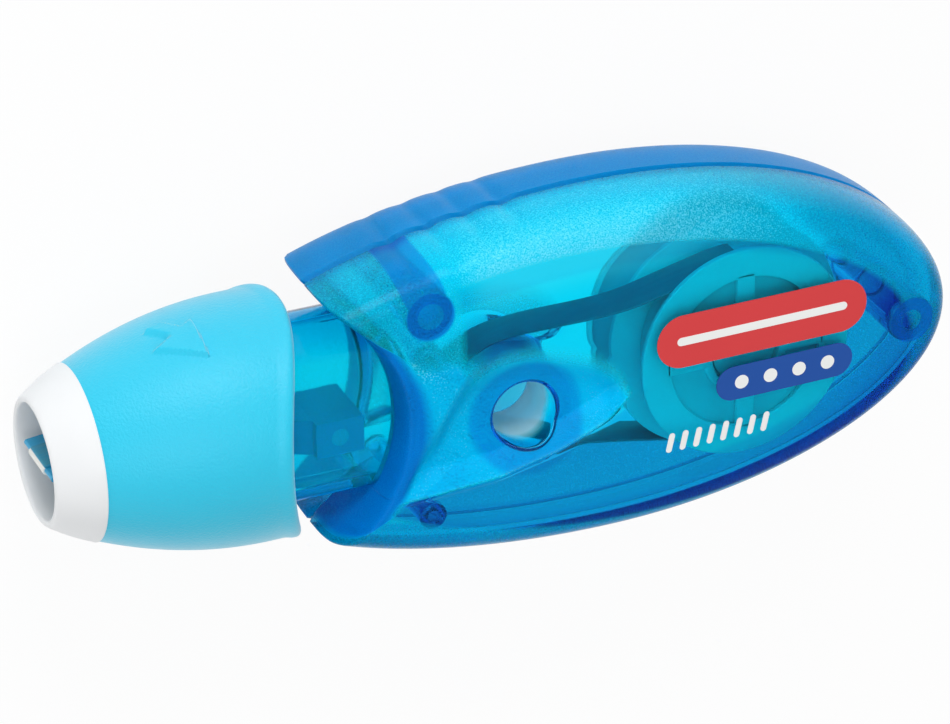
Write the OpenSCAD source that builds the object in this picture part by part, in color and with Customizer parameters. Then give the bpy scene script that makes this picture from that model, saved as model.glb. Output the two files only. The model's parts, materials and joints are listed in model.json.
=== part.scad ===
// Correction tape with a twist cap: two translucent shells, a turning cap and a tip that slides out.
// Millimetres. +X runs from the nose to the tail, +Y to the palm edge, +Z to the window face.
// The origin is under the middle of the part, on the surface that it lies on.

/* [Body] */
// Nose opening to the tallest section of the body
body_mid_x = 58; // [55:0.5:61]
// Tallest section to the tail
body_tail = 37.6; // [35:0.2:41]
// Front semi-axis of the outline, before the front is cut away
body_front = 44; // [41:0.5:47]
// Half of the body's height
body_half_h = 18.2; // [17.2:0.1:20]
// Half of the body's thickness
body_half_t = 8.5; // [8.3:0.1:9.4]
// How far the rounded border reaches in from the outline
edge_w = 4.5; // [3.5:0.1:5.5]
// Fullness of the rounded border, where 2 is an ellipse
edge_power = 3.2; // [2.4:0.1:4]
// Wall of the shells
wall = 1.4; // [1:0.1:1.6]
// Number of grip grooves across the palm edge
groove_count = 4; // [2:1:5]
// Depth of a grip groove
groove_depth = 0.5; // [0.2:0.1:0.8]

/* [Neck] */
// Nose opening to the centre of the round front cut
cut_x = 20.6; // [20:0.1:21.2]
// Radius of the round front cut
cut_r = 14.7; // [14.4:0.1:15.2]
// Radius of the neck
neck_r = 9.2; // [8.6:0.1:9.8]
// Half of the neck's thickness between its flats
neck_half_t = 5.2; // [4.9:0.1:5.8]
// Wall of the neck
neck_wall = 1.1; // [0.8:0.1:1.2]
// Radius of the journal that the cap turns on
journal_r = 7.2; // [7.1:0.05:7.4]
// Wall of the journal
journal_wall = 1; // [0.8:0.05:1.1]

/* [Finger hole] */
// Nose opening to the finger hole
hole_x = 48.4; // [47.4:0.1:50]
// Height of the finger hole from the cap's axis
hole_y = -2.4; // [-2.8:0.1:-1.8]
// Radius of the finger hole
hole_r = 3.3; // [2.6:0.1:3.5]
// Wall of the tube round the finger hole, which guides the tape
tube_wall = 2.2; // [1.4:0.1:2.3]
// Radius of the finger dish in the face
dish_r = 9.5; // [7:0.5:11]
// Depth of the finger dish
dish_depth = 1.8; // [1:0.1:2.4]

/* [Cap] */
// Nose opening to the cap's rear edge, at its middle
cap_len = 24; // [23.4:0.1:24.4]
// Rise of the cap's wavy rear edge on each side of its middle
cap_wave = 1.8; // [1:0.1:2]
// Largest radius of the cap
cap_r = 12.6; // [12.2:0.1:13]
// Wall of the cap's skirt
cap_wall = 1.6; // [1.2:0.1:1.8]
// Length of the white nose
nose_len = 4.5; // [4:0.1:5]
// Radius of the white nose where the grip starts
nose_r = 8.9; // [8.7:0.05:9.4]
// Radius of the nose opening
mouth_r = 5.8; // [5.4:0.1:6]
// Radius of the nose tube inside the grip
nose_tube_r = 8.3; // [8.2:0.05:8.5]
// Nose opening to the rear of the nose tube
nose_tube_end = 19.5; // [19:0.1:19.8]

/* [Tip] */
// How far the tip slides out
travel = 7; // [5:0.5:7.5]
// Turn of the cap that slides the tip all the way out
twist = 180; // [120:5:180]
// Gap between the blade and the plane of the nose opening
blade_set_back = 0.4; // [0.3:0.05:0.8]
// Width of the blade
blade_w = 8.2; // [7:0.1:8.6]
// Length of the blade
blade_len = 8.6; // [7.5:0.1:9]
// Radius of the follower peg
peg_r = 1; // [0.8:0.05:1.2]
// Nose opening to the follower peg
peg_x = 14; // [13.4:0.1:14.4]
// Half of the height of the carriage's rear block
block_half_h = 1.9; // [1.6:0.1:2.1]
// Half of the width of the carriage's rear block
block_half_w = 3.6; // [3:0.1:3.7]
// Nose opening to the front of the rear block
block_x = 27.6; // [27:0.1:28]
// Length of the rear block
block_len = 5; // [4:0.1:5.4]
// Radius of the cross pin in the rear block
cross_pin_r = 0.9; // [0.6:0.05:1.1]

/* [Tape] */
// Width of the tape
tape_w = 4.2; // [3.6:0.1:4.3]
// Thickness of the tape solid
tape_t = 0.25; // [0.15:0.05:0.3]
// Wrap of the tape on the guide tube, from the top
guide_wrap = 28; // [26:1:34]
// Radius of the two guide posts
post_r = 1.5; // [1:0.1:1.8]

/* [Reels] */
// Nose opening to the reel axle
reel_x = 72.4; // [71.5:0.1:73.2]
// Height of the reel axle from the cap's axis
reel_y = -0.8; // [-1.2:0.1:0]
// Radius of the reel axle
axle_r = 2.4; // [2:0.05:2.6]
// Radius of the tape roll on the supply reel
supply_roll_r = 9.4; // [8.8:0.1:10]
// Radius of the supply reel's core
supply_core_r = 4.6; // [4.2:0.1:5.4]
// Outer radius of the supply reel's front ring
front_ring_r = 11.4; // [10.6:0.1:11.8]
// Inner radius of the supply reel's front ring
front_ring_bore = 8.2; // [7:0.1:8.6]
// Radius of the take-up reel's core
take_up_core_r = 12.1; // [11.2:0.05:12.4]
// How far the reels' flanges stand out past the wound film
flange_lip = 0.4; // [0.2:0.05:0.7]
// Thickness of the reels' flanges
flange_t = 0.6; // [0.4:0.05:0.7]
// Wire radius of the clutch spring
spring_wire = 0.3; // [0.2:0.02:0.36]
// Turns of the clutch spring
spring_turns = 2.5; // [1.5:0.5:2.5]

/* [Hidden] */
$fn = 64;

// Clearances
run_gap = 0.06;
seat_gap = 0.02;
free_gap = 0.3;
turn_gap = 0.7;
over = 1;

// Body: points round the outline, and steps of the border's section
outline_points = 72;
section_steps = 6;
body_len = body_mid_x + body_tail;
front_wall_r = cut_r + wall;
dish_sphere_r = (dish_r * dish_r + dish_depth * dish_depth) / (2 * dish_depth);
tube_r = hole_r + tube_wall;
groove_r = 1.6;
groove_pitch = 4;
groove_lead = 11.4;
groove_first_x = hole_x - groove_lead;

// Assembly pins and sockets at three bosses: x, y from the cap's axis
boss_r = 2.5;
pin_r = 1.3;
boss_lead = 9.3;
palm_boss_in = 8.4;
chin_boss_in = 5.6;
tail_boss_y = -2.2;
bosses = [[hole_x - boss_lead, body_half_h - palm_boss_in], [body_len - wall - boss_r, tail_boss_y],
    [hole_x - boss_lead, chin_boss_in - body_half_h]];
boss_top = body_half_t - wall;

// Neck and journal
neck_front = nose_tube_end + turn_gap;
neck_back = cut_x + front_wall_r;
neck_inner_r = neck_r - neck_wall;
neck_inner_half_t = neck_half_t - neck_wall;
journal_front = nose_len + turn_gap;
journal_bore = journal_r - journal_wall;
ring_lead = 1.6;
ring_x = peg_x + peg_r + ring_lead;
ring_w = 1.2;
ring_seat = 0.45;
ring_proud = 0.5;
drag_r = 0.5;
ring_space = 0.2;
drag_x = ring_x + ring_w + drag_r + ring_space;
drag_proud = 0.04;

// Cap
nose_bore = journal_r + run_gap;
lip_w = 0.6;
lip_r = mouth_r + lip_w;
lip_round = 0.5;
lip_soft = 0.15;
nose_bulge = 0.15;
nose_web = 1;
nose_seat = 0.4;
flare_steps = 10;
step_back = 1.4;
step_front = 0.6;
skirt_len = 2.5;
flare_x = cap_len - skirt_len;
skirt_r = cap_r - cap_wall;
scoop_rise = 2 * cap_wave;
scoop_r = (cap_r * cap_r + scoop_rise * scoop_rise) / (2 * scoop_rise);
cam_steps = 36;
cam_gap = 0.3;

// Tip and carriage
blade_back = blade_set_back + blade_len;
blade_nose_half = 0.3;
blade_root_half = 1.2;
tenon_len = 3.5;
tenon_half_h = 0.6;
tenon_half_w = 2;
rail_w = 0.5;
stem_half_w = tape_w / 2 + rail_w;
knee_lead = 2.5;
stem_knee = peg_x + knee_lead;
peg_foot = 1.2;
peg_short = 0.15;
peg_tip = nose_tube_r - peg_short;

// Tape: tail of the tip loop, and the fixed strands beside it
loop_gap = 0.3;
tail_half = block_half_h + loop_gap + tape_t / 2;
strand_half = tail_half + tape_t + free_gap;
tail_gap = 1.4;
tail_end = hole_x - tube_r - tail_gap;
end_gap = 0.7;
strand_end = tail_end - travel - end_gap;
path_gap = 0.2;
guide_path = tube_r + path_gap + tape_t / 2;
post_path = post_r + path_gap + tape_t / 2;
wrap_top = 90 + guide_wrap;
post_x = hole_x + (guide_path + post_path - (strand_half + post_path) * sin(wrap_top)) / cos(wrap_top);
post_y = strand_half + post_path;
arc_steps = 6;

// Reels, from the window face to the back
take_up_roll_t = 0.2;
reel_flange_r = take_up_core_r + take_up_roll_t + flange_lip;
roll_gap = 0.05;
supply_front_z = body_half_t - wall - free_gap;
supply_tape_top = supply_front_z - flange_t;
supply_flange_top = supply_tape_top - tape_w - 2 * roll_gap;
supply_flange_z = supply_flange_top - flange_t;
clutch_t = 0.7;
clutch_gap = 0.1;
clutch_top = supply_flange_z;
clutch_z = clutch_top - clutch_t;
take_up_top = supply_flange_z - free_gap;
take_up_flange_top = take_up_top - tape_w - 2 * roll_gap;
take_up_flange_z = take_up_flange_top - flange_t;
take_up_hub_top = clutch_z - clutch_gap;
take_up_wall = 1.2;
hub_r = supply_core_r - seat_gap;
spoke_count = 4;
spoke_w = 2;
spoke_in = 0.4;
washer_t = 0.6;
washer_top = take_up_flange_z - clutch_gap;
spring_top = washer_top - washer_t;
spring_z = -(body_half_t - wall);
spring_room = 1.8;
spring_r = axle_r + spring_room;
washer_lip = 1.2;
washer_r = spring_r + washer_lip;
cap_sink = 1.1;
axle_top = supply_front_z - cap_sink;
hub_top = axle_top - clutch_gap;
axle_wall = 1;
cap_stem_r = axle_r - axle_wall;
cap_stem_len = 3;
cap_head_t = 0.7;
cap_head_lip = 1;
cap_head_r = axle_r + cap_head_lip;

// Colours
body_blue = [0.05, 0.62, 0.9, 0.5];
grip_blue = [0.45, 0.85, 0.95];
pure_white = [0.96, 0.96, 0.96];
tip_blue = [0.1, 0.55, 0.8];
pale_blue = [0.75, 0.93, 0.97];
film_teal = [0.16, 0.4, 0.46];
steel = [0.7, 0.72, 0.74];
rubber = [0.15, 0.15, 0.16];

// Everything below is drawn from the nose opening, on the cap's axis, and then set down here
module placed() {
    translate([-body_len / 2, 0, cap_r]) children();
}

// Outline of the body: two half ellipses that meet at the tallest section
function outline(angle, inset) = [
    body_mid_x + ((cos(angle) >= 0 ? body_tail : body_front) - inset) * cos(angle),
    (body_half_h - inset) * sin(angle)
];
function outline_y(x) = body_half_h * sqrt(1 - pow((body_mid_x - x) / body_front, 2));

// Section of the border: how far in from the outline, and how high, at each step
function section_in(step) = edge_w * (1 - pow(cos(90 * step / section_steps), 2 / edge_power));
function section_up(step) = pow(sin(90 * step / section_steps), 2 / edge_power);

// Half of the body, from below the seam to the face, shrunk by the inset
module half_body(inset, below) {
    levels = concat([[0, -below]], [for (k = [below > 0 ? 0 : 1 : section_steps])
        [section_in(k), (body_half_t - inset) * section_up(k)]]);
    n = outline_points;
    points = [for (level = levels) for (i = [0 : n - 1])
        let (p = outline(360 * i / n, inset + level[0])) [p[0], p[1], level[1]]];
    sides = [for (k = [0 : len(levels) - 2]) for (i = [0 : n - 1])
        let (a = k * n + i, b = k * n + (i + 1) % n)
        each [[a, a + n, b], [b, a + n, b + n]]];
    bottom = [[for (i = [0 : n - 1]) i]];
    top = [[for (i = [n - 1 : -1 : 0]) (len(levels) - 1) * n + i]];
    polyhedron(points, concat(sides, bottom, top), convexity = 4);
}

// Round bar along X
module bar_x(r, x0, x1) {
    translate([x0, 0, 0]) rotate([0, 90, 0]) cylinder(r = r, h = x1 - x0);
}

// Shape of revolution about X, from points of radius and x
module turned(profile) {
    rotate([0, 90, 0]) rotate_extrude() polygon(profile);
}

// Flat-sided round bar along X, from just below the seam up to its flat
module half_neck(r, half_t, x0, x1, below = 0) {
    intersection() {
        bar_x(r, x0, x1);
        translate([x0, -r, -below]) cube([x1 - x0, 2 * r, half_t + below]);
    }
}

// What stands inside a shell: front wall, dish, guide tube, bosses and guide posts
module shell_inside(height) {
    translate([cut_x, 0, -over]) cylinder(r = front_wall_r, h = height + 2 * over);
    translate([hole_x, hole_y, body_half_t - dish_depth + dish_sphere_r]) sphere(r = dish_sphere_r + wall);
    translate([hole_x, hole_y, 0]) cylinder(r = tube_r, h = height);
    for (b = bosses) translate([b[0], b[1], 0]) cylinder(r = boss_r, h = height);
    for (side = [-1, 1]) translate([post_x, hole_y + side * post_y, 0]) cylinder(r = post_r, h = height);
}

// One shell with its half of the neck and journal, on the upper side of the seam
module shell() {
    difference() {
        union() {
            difference() {
                half_body(0, 0);
                difference() {
                    half_body(wall, over);
                    shell_inside(boss_top);
                }
                translate([cut_x, 0, -over]) cylinder(r = cut_r, h = body_half_t + 2 * over);
            }
            half_neck(neck_r, neck_half_t, neck_front, neck_back);
            half_neck(journal_r, journal_r, journal_front, neck_front);
        }
        half_neck_hollow();
        translate([hole_x, hole_y, -over]) cylinder(r = hole_r, h = body_half_t + 2 * over);
        translate([hole_x, hole_y, body_half_t - dish_depth + dish_sphere_r]) sphere(r = dish_sphere_r);
        journal_grooves();
        grip_grooves();
    }
}

// Way for the carriage and the tape through the journal, the neck and the front wall
module half_neck_hollow() {
    bar_x(journal_bore, journal_front - over, neck_front - neck_wall);
    half_neck(journal_bore, neck_inner_half_t, neck_front - neck_wall - over,
        neck_front + neck_wall + over, over);
    half_neck(neck_inner_r, neck_inner_half_t, neck_front + neck_wall, neck_back + over, over);
}

// Seats of the retaining ring and the drag ring in the journal
module journal_grooves() {
    turned([[journal_r - ring_seat, ring_x], [journal_r + over, ring_x],
        [journal_r + over, ring_x + ring_w], [journal_r - ring_seat, ring_x + ring_w]]);
    translate([drag_x, 0, 0]) rotate([0, 90, 0]) rotate_extrude()
        translate([journal_r + drag_proud - drag_r, 0]) circle(r = drag_r + seat_gap);
}

// Grooves across the palm edge, for grip
module grip_grooves() {
    for (i = [0 : groove_count - 1]) {
        x = groove_first_x + i * groove_pitch;
        translate([x, outline_y(x) + groove_r - groove_depth, -over])
            cylinder(r = groove_r, h = body_half_t + 2 * over);
    }
}

module front_shell() {
    color(body_blue) placed() difference() {
        shell();
        for (b = bosses) translate([b[0], b[1], -over]) cylinder(r = pin_r + run_gap, h = boss_top);
        translate([peg_x - travel - peg_r - cam_gap, -peg_r - run_gap, 0])
            cube([travel + 2 * peg_r + 2 * cam_gap, 2 * (peg_r + run_gap), journal_r + over]);
    }
}

module back_shell() {
    color(body_blue) placed() union() {
        mirror([0, 0, 1]) shell();
        for (b = bosses) translate([b[0], b[1], -over]) cylinder(r = pin_r, h = boss_top - over);
        translate([reel_x, reel_y, -boss_top - wall / 2]) difference() {
            cylinder(r = axle_r, h = boss_top + wall / 2 + axle_top);
            translate([0, 0, boss_top]) cylinder(r = cap_stem_r, h = axle_top + over);
        }
    }
}

// White nose with the tube that turns on the journal and holds the helical cam slot
module cap_nose() {
    color(pure_white) placed() difference() {
        turned([[mouth_r, lip_round], [mouth_r + lip_soft, lip_soft], [lip_r - lip_soft, 0],
            [lip_r + lip_soft, lip_soft], [(lip_r + nose_r) / 2 + nose_bulge, nose_len / 2],
            [nose_r, nose_len], [nose_tube_r, nose_len], [nose_tube_r, nose_tube_end], [nose_bore, nose_tube_end],
            [nose_bore, nose_len + nose_seat], [mouth_r, nose_len - nose_web]]);
        turned([[nose_bore - over, ring_x - run_gap], [journal_r + ring_proud + run_gap, ring_x - run_gap],
            [journal_r + ring_proud + run_gap, ring_x + ring_w + run_gap],
            [nose_bore - over, ring_x + ring_w + run_gap]]);
        for (i = [0 : cam_steps])
            translate([peg_x - travel * i / cam_steps, 0, 0])
                rotate([twist * i / cam_steps, 0, 0])
                    translate([0, 0, journal_bore]) cylinder(r = peg_r + cam_gap, h = nose_tube_r);
    }
}

// Grip sleeve: a flaring bell with a wavy rear edge
module cap_grip() {
    flare = [for (i = [0 : flare_steps]) let (s = i / flare_steps)
        [nose_r + (cap_r - nose_r) * (1 - pow(1 - s, 2)), nose_len + (flare_x - nose_len) * s]];
    color(grip_blue) placed() difference() {
        turned(concat(flare, [[cap_r, cap_len + cap_wave + over], [skirt_r, cap_len + cap_wave + over],
            [skirt_r, nose_tube_end + step_back], [nose_tube_r + seat_gap, nose_tube_end - step_front],
            [nose_tube_r + seat_gap, nose_len]]));
        translate([cap_len - cap_wave + scoop_r, 0, -cap_r - over])
            cylinder(r = scoop_r, h = 2 * (cap_r + over));
    }
}

// Split ring that holds the cap on the journal
module cap_retaining_ring() {
    gap_w = 2;
    color(steel) placed() difference() {
        turned([[journal_r - ring_seat + seat_gap, ring_x + seat_gap],
            [journal_r + ring_proud, ring_x + seat_gap], [journal_r + ring_proud, ring_x + ring_w - seat_gap],
            [journal_r - ring_seat + seat_gap, ring_x + ring_w - seat_gap]]);
        translate([ring_x - over, 0, -gap_w / 2]) cube([ring_w + 2 * over, 2 * journal_r, gap_w]);
    }
}

// Rubber ring that gives the cap its drag
module cap_drag_ring() {
    color(rubber) placed() translate([drag_x, 0, 0]) rotate([0, 90, 0]) rotate_extrude()
        translate([journal_r + drag_proud - drag_r, 0]) circle(r = drag_r);
}

// Carriage: a stem with tape rails, and the rear block
module tip_carriage() {
    color(tip_blue) placed() difference() {
        union() {
            translate([0, 0, -stem_half_w]) linear_extrude(2 * stem_half_w) polygon([
                [blade_back, blade_root_half], [stem_knee, blade_root_half],
                [block_x, hole_y + block_half_h], [block_x, hole_y - block_half_h],
                [stem_knee, -blade_root_half], [blade_back, -blade_root_half]]);
            translate([block_x, hole_y - block_half_h, -block_half_w])
                cube([block_len, 2 * block_half_h, 2 * block_half_w]);
        }
        translate([blade_back - over, -tenon_half_h - seat_gap, -tenon_half_w - seat_gap])
            cube([tenon_len + over + seat_gap, 2 * (tenon_half_h + seat_gap), 2 * (tenon_half_w + seat_gap)]);
        translate([peg_x, 0, peg_foot - seat_gap]) cylinder(r = peg_r + seat_gap, h = journal_r);
        translate([block_x + block_len / 2, hole_y, -block_half_w - over])
            cylinder(r = cross_pin_r + seat_gap, h = 2 * (block_half_w + over));
    }
}

module follower_peg() {
    color(pure_white) placed() translate([peg_x, 0, peg_foot]) cylinder(r = peg_r, h = peg_tip - peg_foot);
}

// Wedge blade that presses the tape down, with a tenon into the carriage
module applicator_tip() {
    color(tip_blue) placed() union() {
        translate([0, 0, -blade_w / 2]) linear_extrude(blade_w) polygon([
            [blade_set_back + blade_nose_half, blade_nose_half], [blade_back, blade_root_half],
            [blade_back, -blade_root_half], [blade_set_back + blade_nose_half, -blade_nose_half]]);
        translate([blade_set_back + blade_nose_half, 0, -blade_w / 2])
            cylinder(r = blade_nose_half, h = blade_w);
        translate([blade_back - over, -tenon_half_h, -tenon_half_w])
            cube([tenon_len + over, 2 * tenon_half_h, 2 * tenon_half_w]);
    }
}

module cross_pin() {
    color(pale_blue) placed() translate([block_x + block_len / 2, hole_y, -block_half_w])
        cylinder(r = cross_pin_r, h = 2 * block_half_w);
}

// Points on an arc, by centre, radius and the angles it runs between
function arc(cx, cy, r, from, to) = [for (i = [0 : arc_steps])
    let (a = from + (to - from) * i / arc_steps) [cx + r * cos(a), cy + r * sin(a)]];

// Tape round the blade: one side of its path, from the tail to the blade's edge
function loop_side(side, d) = [
    [tail_end, hole_y + side * (tail_half + d)],
    [block_x, hole_y + side * (tail_half + d)],
    [stem_knee, side * (blade_root_half + loop_gap + tape_t / 2 + d)],
    [blade_back, side * (blade_root_half + loop_gap + tape_t / 2 + d)],
    [blade_set_back + blade_nose_half, side * (blade_nose_half + tape_t / 2 + d)]
];
function reversed(list) = [for (i = [len(list) - 1 : -1 : 0]) list[i]];

module tape_tip_loop() {
    half = tape_t / 2 - seat_gap;
    edge_x = blade_set_back + blade_nose_half;
    edge_r = blade_nose_half + tape_t / 2;
    outer_edge = arc(edge_x, 0, edge_r + half, 90, 270);
    inner_edge = arc(edge_x, 0, edge_r - half, 270, 90);
    outer = concat(loop_side(1, half), outer_edge, reversed(loop_side(-1, half)));
    inner = concat(loop_side(-1, -half), inner_edge, reversed(loop_side(1, -half)));
    color(film_teal) placed() translate([0, 0, -tape_w / 2]) linear_extrude(tape_w)
        polygon(concat(outer, inner));
}

// Tangent of the strand to its reel and the guide tube: angle of the common normal
function strand_normal(side, r) = let (dx = reel_x - hole_x, dy = reel_y - hole_y)
    180 + atan2(dy, dx) - side * acos((r - guide_path) / norm([dx, dy])) - (side > 0 ? 0 : 360);

// Path of a strand: fixed end, guide post, guide tube, just outside the reels' flanges, and reel
function strand_path(side, r) = let (a = strand_normal(side, r), w = side > 0 ? wrap_top : -wrap_top,
    reach = sqrt(pow(reel_flange_r + free_gap, 2) - r * r)) concat(
    [[strand_end, hole_y + side * strand_half]],
    arc(post_x, hole_y + side * post_y, post_path, side > 0 ? 270 : 90, w + 180),
    arc(hole_x, hole_y, guide_path, w, a),
    [for (back = [reach, 0]) [reel_x + r * cos(a) - side * back * sin(a),
        reel_y + r * sin(a) + side * back * cos(a)]]);

// Flat ribbon along a path in XY, its width along Z, its level 0 and then z at the path's last two points
module ribbon(path, z) {
    n = len(path);
    function way(i) = path[min(i + 1, n - 1)] - path[max(i - 1, 0)];
    function level(i) = i < n - 2 ? 0 : z;
    points = [for (i = [0 : n - 1]) let (d = way(i) / norm(way(i)), q = [-d[1], d[0]] * tape_t / 2)
        each [[path[i][0] + q[0], path[i][1] + q[1], level(i) + tape_w / 2],
            [path[i][0] - q[0], path[i][1] - q[1], level(i) + tape_w / 2],
            [path[i][0] - q[0], path[i][1] - q[1], level(i) - tape_w / 2],
            [path[i][0] + q[0], path[i][1] + q[1], level(i) - tape_w / 2]]];
    sides = [for (i = [0 : n - 2]) for (k = [0 : 3])
        let (a = 4 * i + k, b = 4 * i + (k + 1) % 4) each [[a, b, a + 4], [b, b + 4, a + 4]]];
    polyhedron(points, concat(sides, [[3, 2, 1, 0]],
        [[4 * n - 4, 4 * n - 3, 4 * n - 2, 4 * n - 1]]), convexity = 6);
}

module tape_upper_strand() {
    color(film_teal) placed() ribbon(strand_path(1, supply_roll_r + free_gap), supply_tape_top - tape_w / 2);
}

module tape_lower_strand() {
    r = take_up_core_r + take_up_roll_t + free_gap;
    color(film_teal) placed() ribbon(strand_path(-1, r), take_up_top - tape_w / 2);
}

// Ring between two radii and two heights
module ring(inner, outer, z0, z1) {
    translate([0, 0, z0]) difference() {
        cylinder(r = outer, h = z1 - z0);
        translate([0, 0, -over]) cylinder(r = inner, h = z1 - z0 + 2 * over);
    }
}

module on_axle() {
    placed() translate([reel_x, reel_y, 0]) children();
}

module supply_reel() {
    color(pale_blue) on_axle() difference() {
        union() {
            cylinder_between(hub_r, supply_flange_z, supply_front_z);
            cylinder_between(reel_flange_r, supply_flange_z, supply_flange_top);
            ring(front_ring_bore, front_ring_r, supply_tape_top, supply_front_z);
            for (i = [0 : spoke_count - 1]) rotate(360 * i / spoke_count)
                translate([hub_r - spoke_in, -spoke_w / 2, supply_tape_top])
                    cube([front_ring_bore - hub_r + 2 * spoke_in, spoke_w, supply_front_z - supply_tape_top]);
        }
        translate([0, 0, supply_flange_z - over]) cylinder(r = axle_r + run_gap, h = 2 * body_half_t);
        translate([0, 0, hub_top]) cylinder(r = cap_head_r + free_gap, h = body_half_t);
    }
}

module cylinder_between(r, z0, z1) {
    translate([0, 0, z0]) cylinder(r = r, h = z1 - z0);
}

module supply_roll() {
    color(film_teal) on_axle()
        ring(supply_core_r, supply_roll_r, supply_flange_top + roll_gap, supply_tape_top - roll_gap);
}

module take_up_reel() {
    color(pale_blue) on_axle() difference() {
        union() {
            cylinder_between(reel_flange_r, take_up_flange_z, take_up_flange_top);
            ring(take_up_core_r - take_up_wall, take_up_core_r, take_up_flange_z, take_up_top);
            cylinder_between(axle_r + take_up_wall, take_up_flange_z, take_up_hub_top);
        }
        translate([0, 0, take_up_flange_z - over]) cylinder(r = axle_r + run_gap, h = 2 * body_half_t);
    }
}

module take_up_roll() {
    color(film_teal) on_axle() ring(take_up_core_r + seat_gap, take_up_core_r + take_up_roll_t,
        take_up_flange_top + roll_gap, take_up_top - roll_gap);
}

// Friction disc between the two reels, fixed under the supply reel
module clutch_disc() {
    color(rubber) on_axle()
        ring(axle_r + free_gap, take_up_core_r - take_up_wall - free_gap, clutch_z, clutch_top);
}

module clutch_washer() {
    color(steel) on_axle() ring(axle_r + run_gap, washer_r, spring_top, washer_top);
}

// Spring that presses the take-up reel against the friction disc
module clutch_spring() {
    ring_points = 8;
    per_turn = 16;
    n = floor(spring_turns * per_turn);
    rise = (spring_top - spring_z - 2 * spring_wire) / n;
    points = [for (i = [0 : n]) for (k = [0 : ring_points - 1])
        let (a = 360 * i / per_turn, b = 360 * k / ring_points, r = spring_r + spring_wire * cos(b))
        [r * cos(a), r * sin(a), spring_z + spring_wire + i * rise + spring_wire * sin(b)]];
    sides = [for (i = [0 : n - 1]) for (k = [0 : ring_points - 1])
        let (a = i * ring_points + k, b = i * ring_points + (k + 1) % ring_points)
        each [[a, b, a + ring_points], [b, b + ring_points, a + ring_points]]];
    start = [[for (k = [ring_points - 1 : -1 : 0]) k]];
    end = [[for (k = [0 : ring_points - 1]) n * ring_points + k]];
    color(steel) on_axle() polyhedron(points, concat(sides, start, end), convexity = 8);
}

// Snap cap that keeps the reels on the axle
module axle_cap() {
    color(pure_white) on_axle() {
        cylinder_between(cap_head_r, axle_top, axle_top + cap_head_t);
        cylinder_between(cap_stem_r - seat_gap, axle_top - cap_stem_len, axle_top);
    }
}

front_shell();
back_shell();
cap_nose();
cap_grip();
cap_retaining_ring();
cap_drag_ring();
tip_carriage();
follower_peg();
applicator_tip();
cross_pin();
tape_tip_loop();
tape_upper_strand();
tape_lower_strand();
supply_reel();
supply_roll();
take_up_reel();
take_up_roll();
clutch_disc();
clutch_washer();
clutch_spring();
axle_cap();
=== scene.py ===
"""Looks of a twist-cap correction tape: finer mouldings, reels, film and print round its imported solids."""
import json
import logging
import math
from dataclasses import dataclass, replace
from enum import Enum
from typing import Any

import bpy
import numpy as np
from bpy.types import Material, Node, NodeSocket, NodeTree, Object
from mathutils import Matrix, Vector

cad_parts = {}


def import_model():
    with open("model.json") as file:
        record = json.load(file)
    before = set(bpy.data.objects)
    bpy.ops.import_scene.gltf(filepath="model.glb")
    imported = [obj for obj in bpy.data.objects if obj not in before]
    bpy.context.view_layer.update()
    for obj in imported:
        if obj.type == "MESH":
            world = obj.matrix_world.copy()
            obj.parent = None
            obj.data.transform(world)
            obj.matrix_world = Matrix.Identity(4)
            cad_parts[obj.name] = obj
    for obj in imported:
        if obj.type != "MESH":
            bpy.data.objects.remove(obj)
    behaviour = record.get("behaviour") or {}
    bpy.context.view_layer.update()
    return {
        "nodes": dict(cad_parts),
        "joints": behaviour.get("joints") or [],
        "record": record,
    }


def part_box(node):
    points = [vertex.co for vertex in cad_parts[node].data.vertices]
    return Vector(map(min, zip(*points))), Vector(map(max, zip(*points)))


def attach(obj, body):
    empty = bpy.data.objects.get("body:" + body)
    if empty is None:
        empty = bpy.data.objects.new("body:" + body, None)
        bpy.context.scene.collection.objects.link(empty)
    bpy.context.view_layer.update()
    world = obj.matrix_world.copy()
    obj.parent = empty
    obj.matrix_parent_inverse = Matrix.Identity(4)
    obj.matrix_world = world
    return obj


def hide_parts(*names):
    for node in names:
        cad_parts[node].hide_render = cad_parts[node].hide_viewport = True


Array = np.ndarray
Four = tuple[float, float, float, float]
Oval = tuple[float, float, float, float, float]

LOG = logging.getLogger("correction_tape")
MM = 0.001
IMAGE_WIDTH = 950
FAR = 1.0e6
TINY = 1.0e-9
FLATTEN = 1.0e3
NOISE_RANGE = (0.3, 0.7)
SHARE = (0.0, 1.0)
SRGB_KNEE, SRGB_SLOPE, SRGB_SHIFT, SRGB_POWER = 0.04045, 12.92, 0.055, 2.4
CORNER_SHARE = 0.49
ROOT_STEPS = 30


class Side(Enum):
    """Which shell a moulding belongs to, as the sign of its height above the seam."""

    WINDOW = 1
    BACK = -1


class Ink(Enum):
    """Colours of the print on the window, each with the shade that it drifts to."""

    RED = ("#DC3D40", "#D63A3D")
    WHITE = ("#F6F7F5", "#F0F2F0")
    NAVY = ("#0A4FA8", "#0A4BA0")


@dataclass(frozen=True)
class Datum:
    """The point that sizes in millimetres count from: the nose opening, on the cap's axis."""

    x: float
    y: float
    z: float

    @classmethod
    def from_frame(cls) -> "Datum":
        """Takes the nose opening and the cap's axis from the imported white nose.

        Returns:
            The datum, in metres.
        """
        low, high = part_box("cap_nose")
        middle = (low + high) / 2
        return cls(low.x, middle.y, middle.z)

    def place(self, points: Array) -> Array:
        """Turns millimetres from the datum into metres in the part's frame."""
        return points * MM + np.array([self.x, self.y, self.z])

    def measure(self, point: Any) -> Array:
        """Turns a point in the part's frame into millimetres from the datum."""
        return (np.array(point, float) - np.array([self.x, self.y, self.z])) / MM


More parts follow.
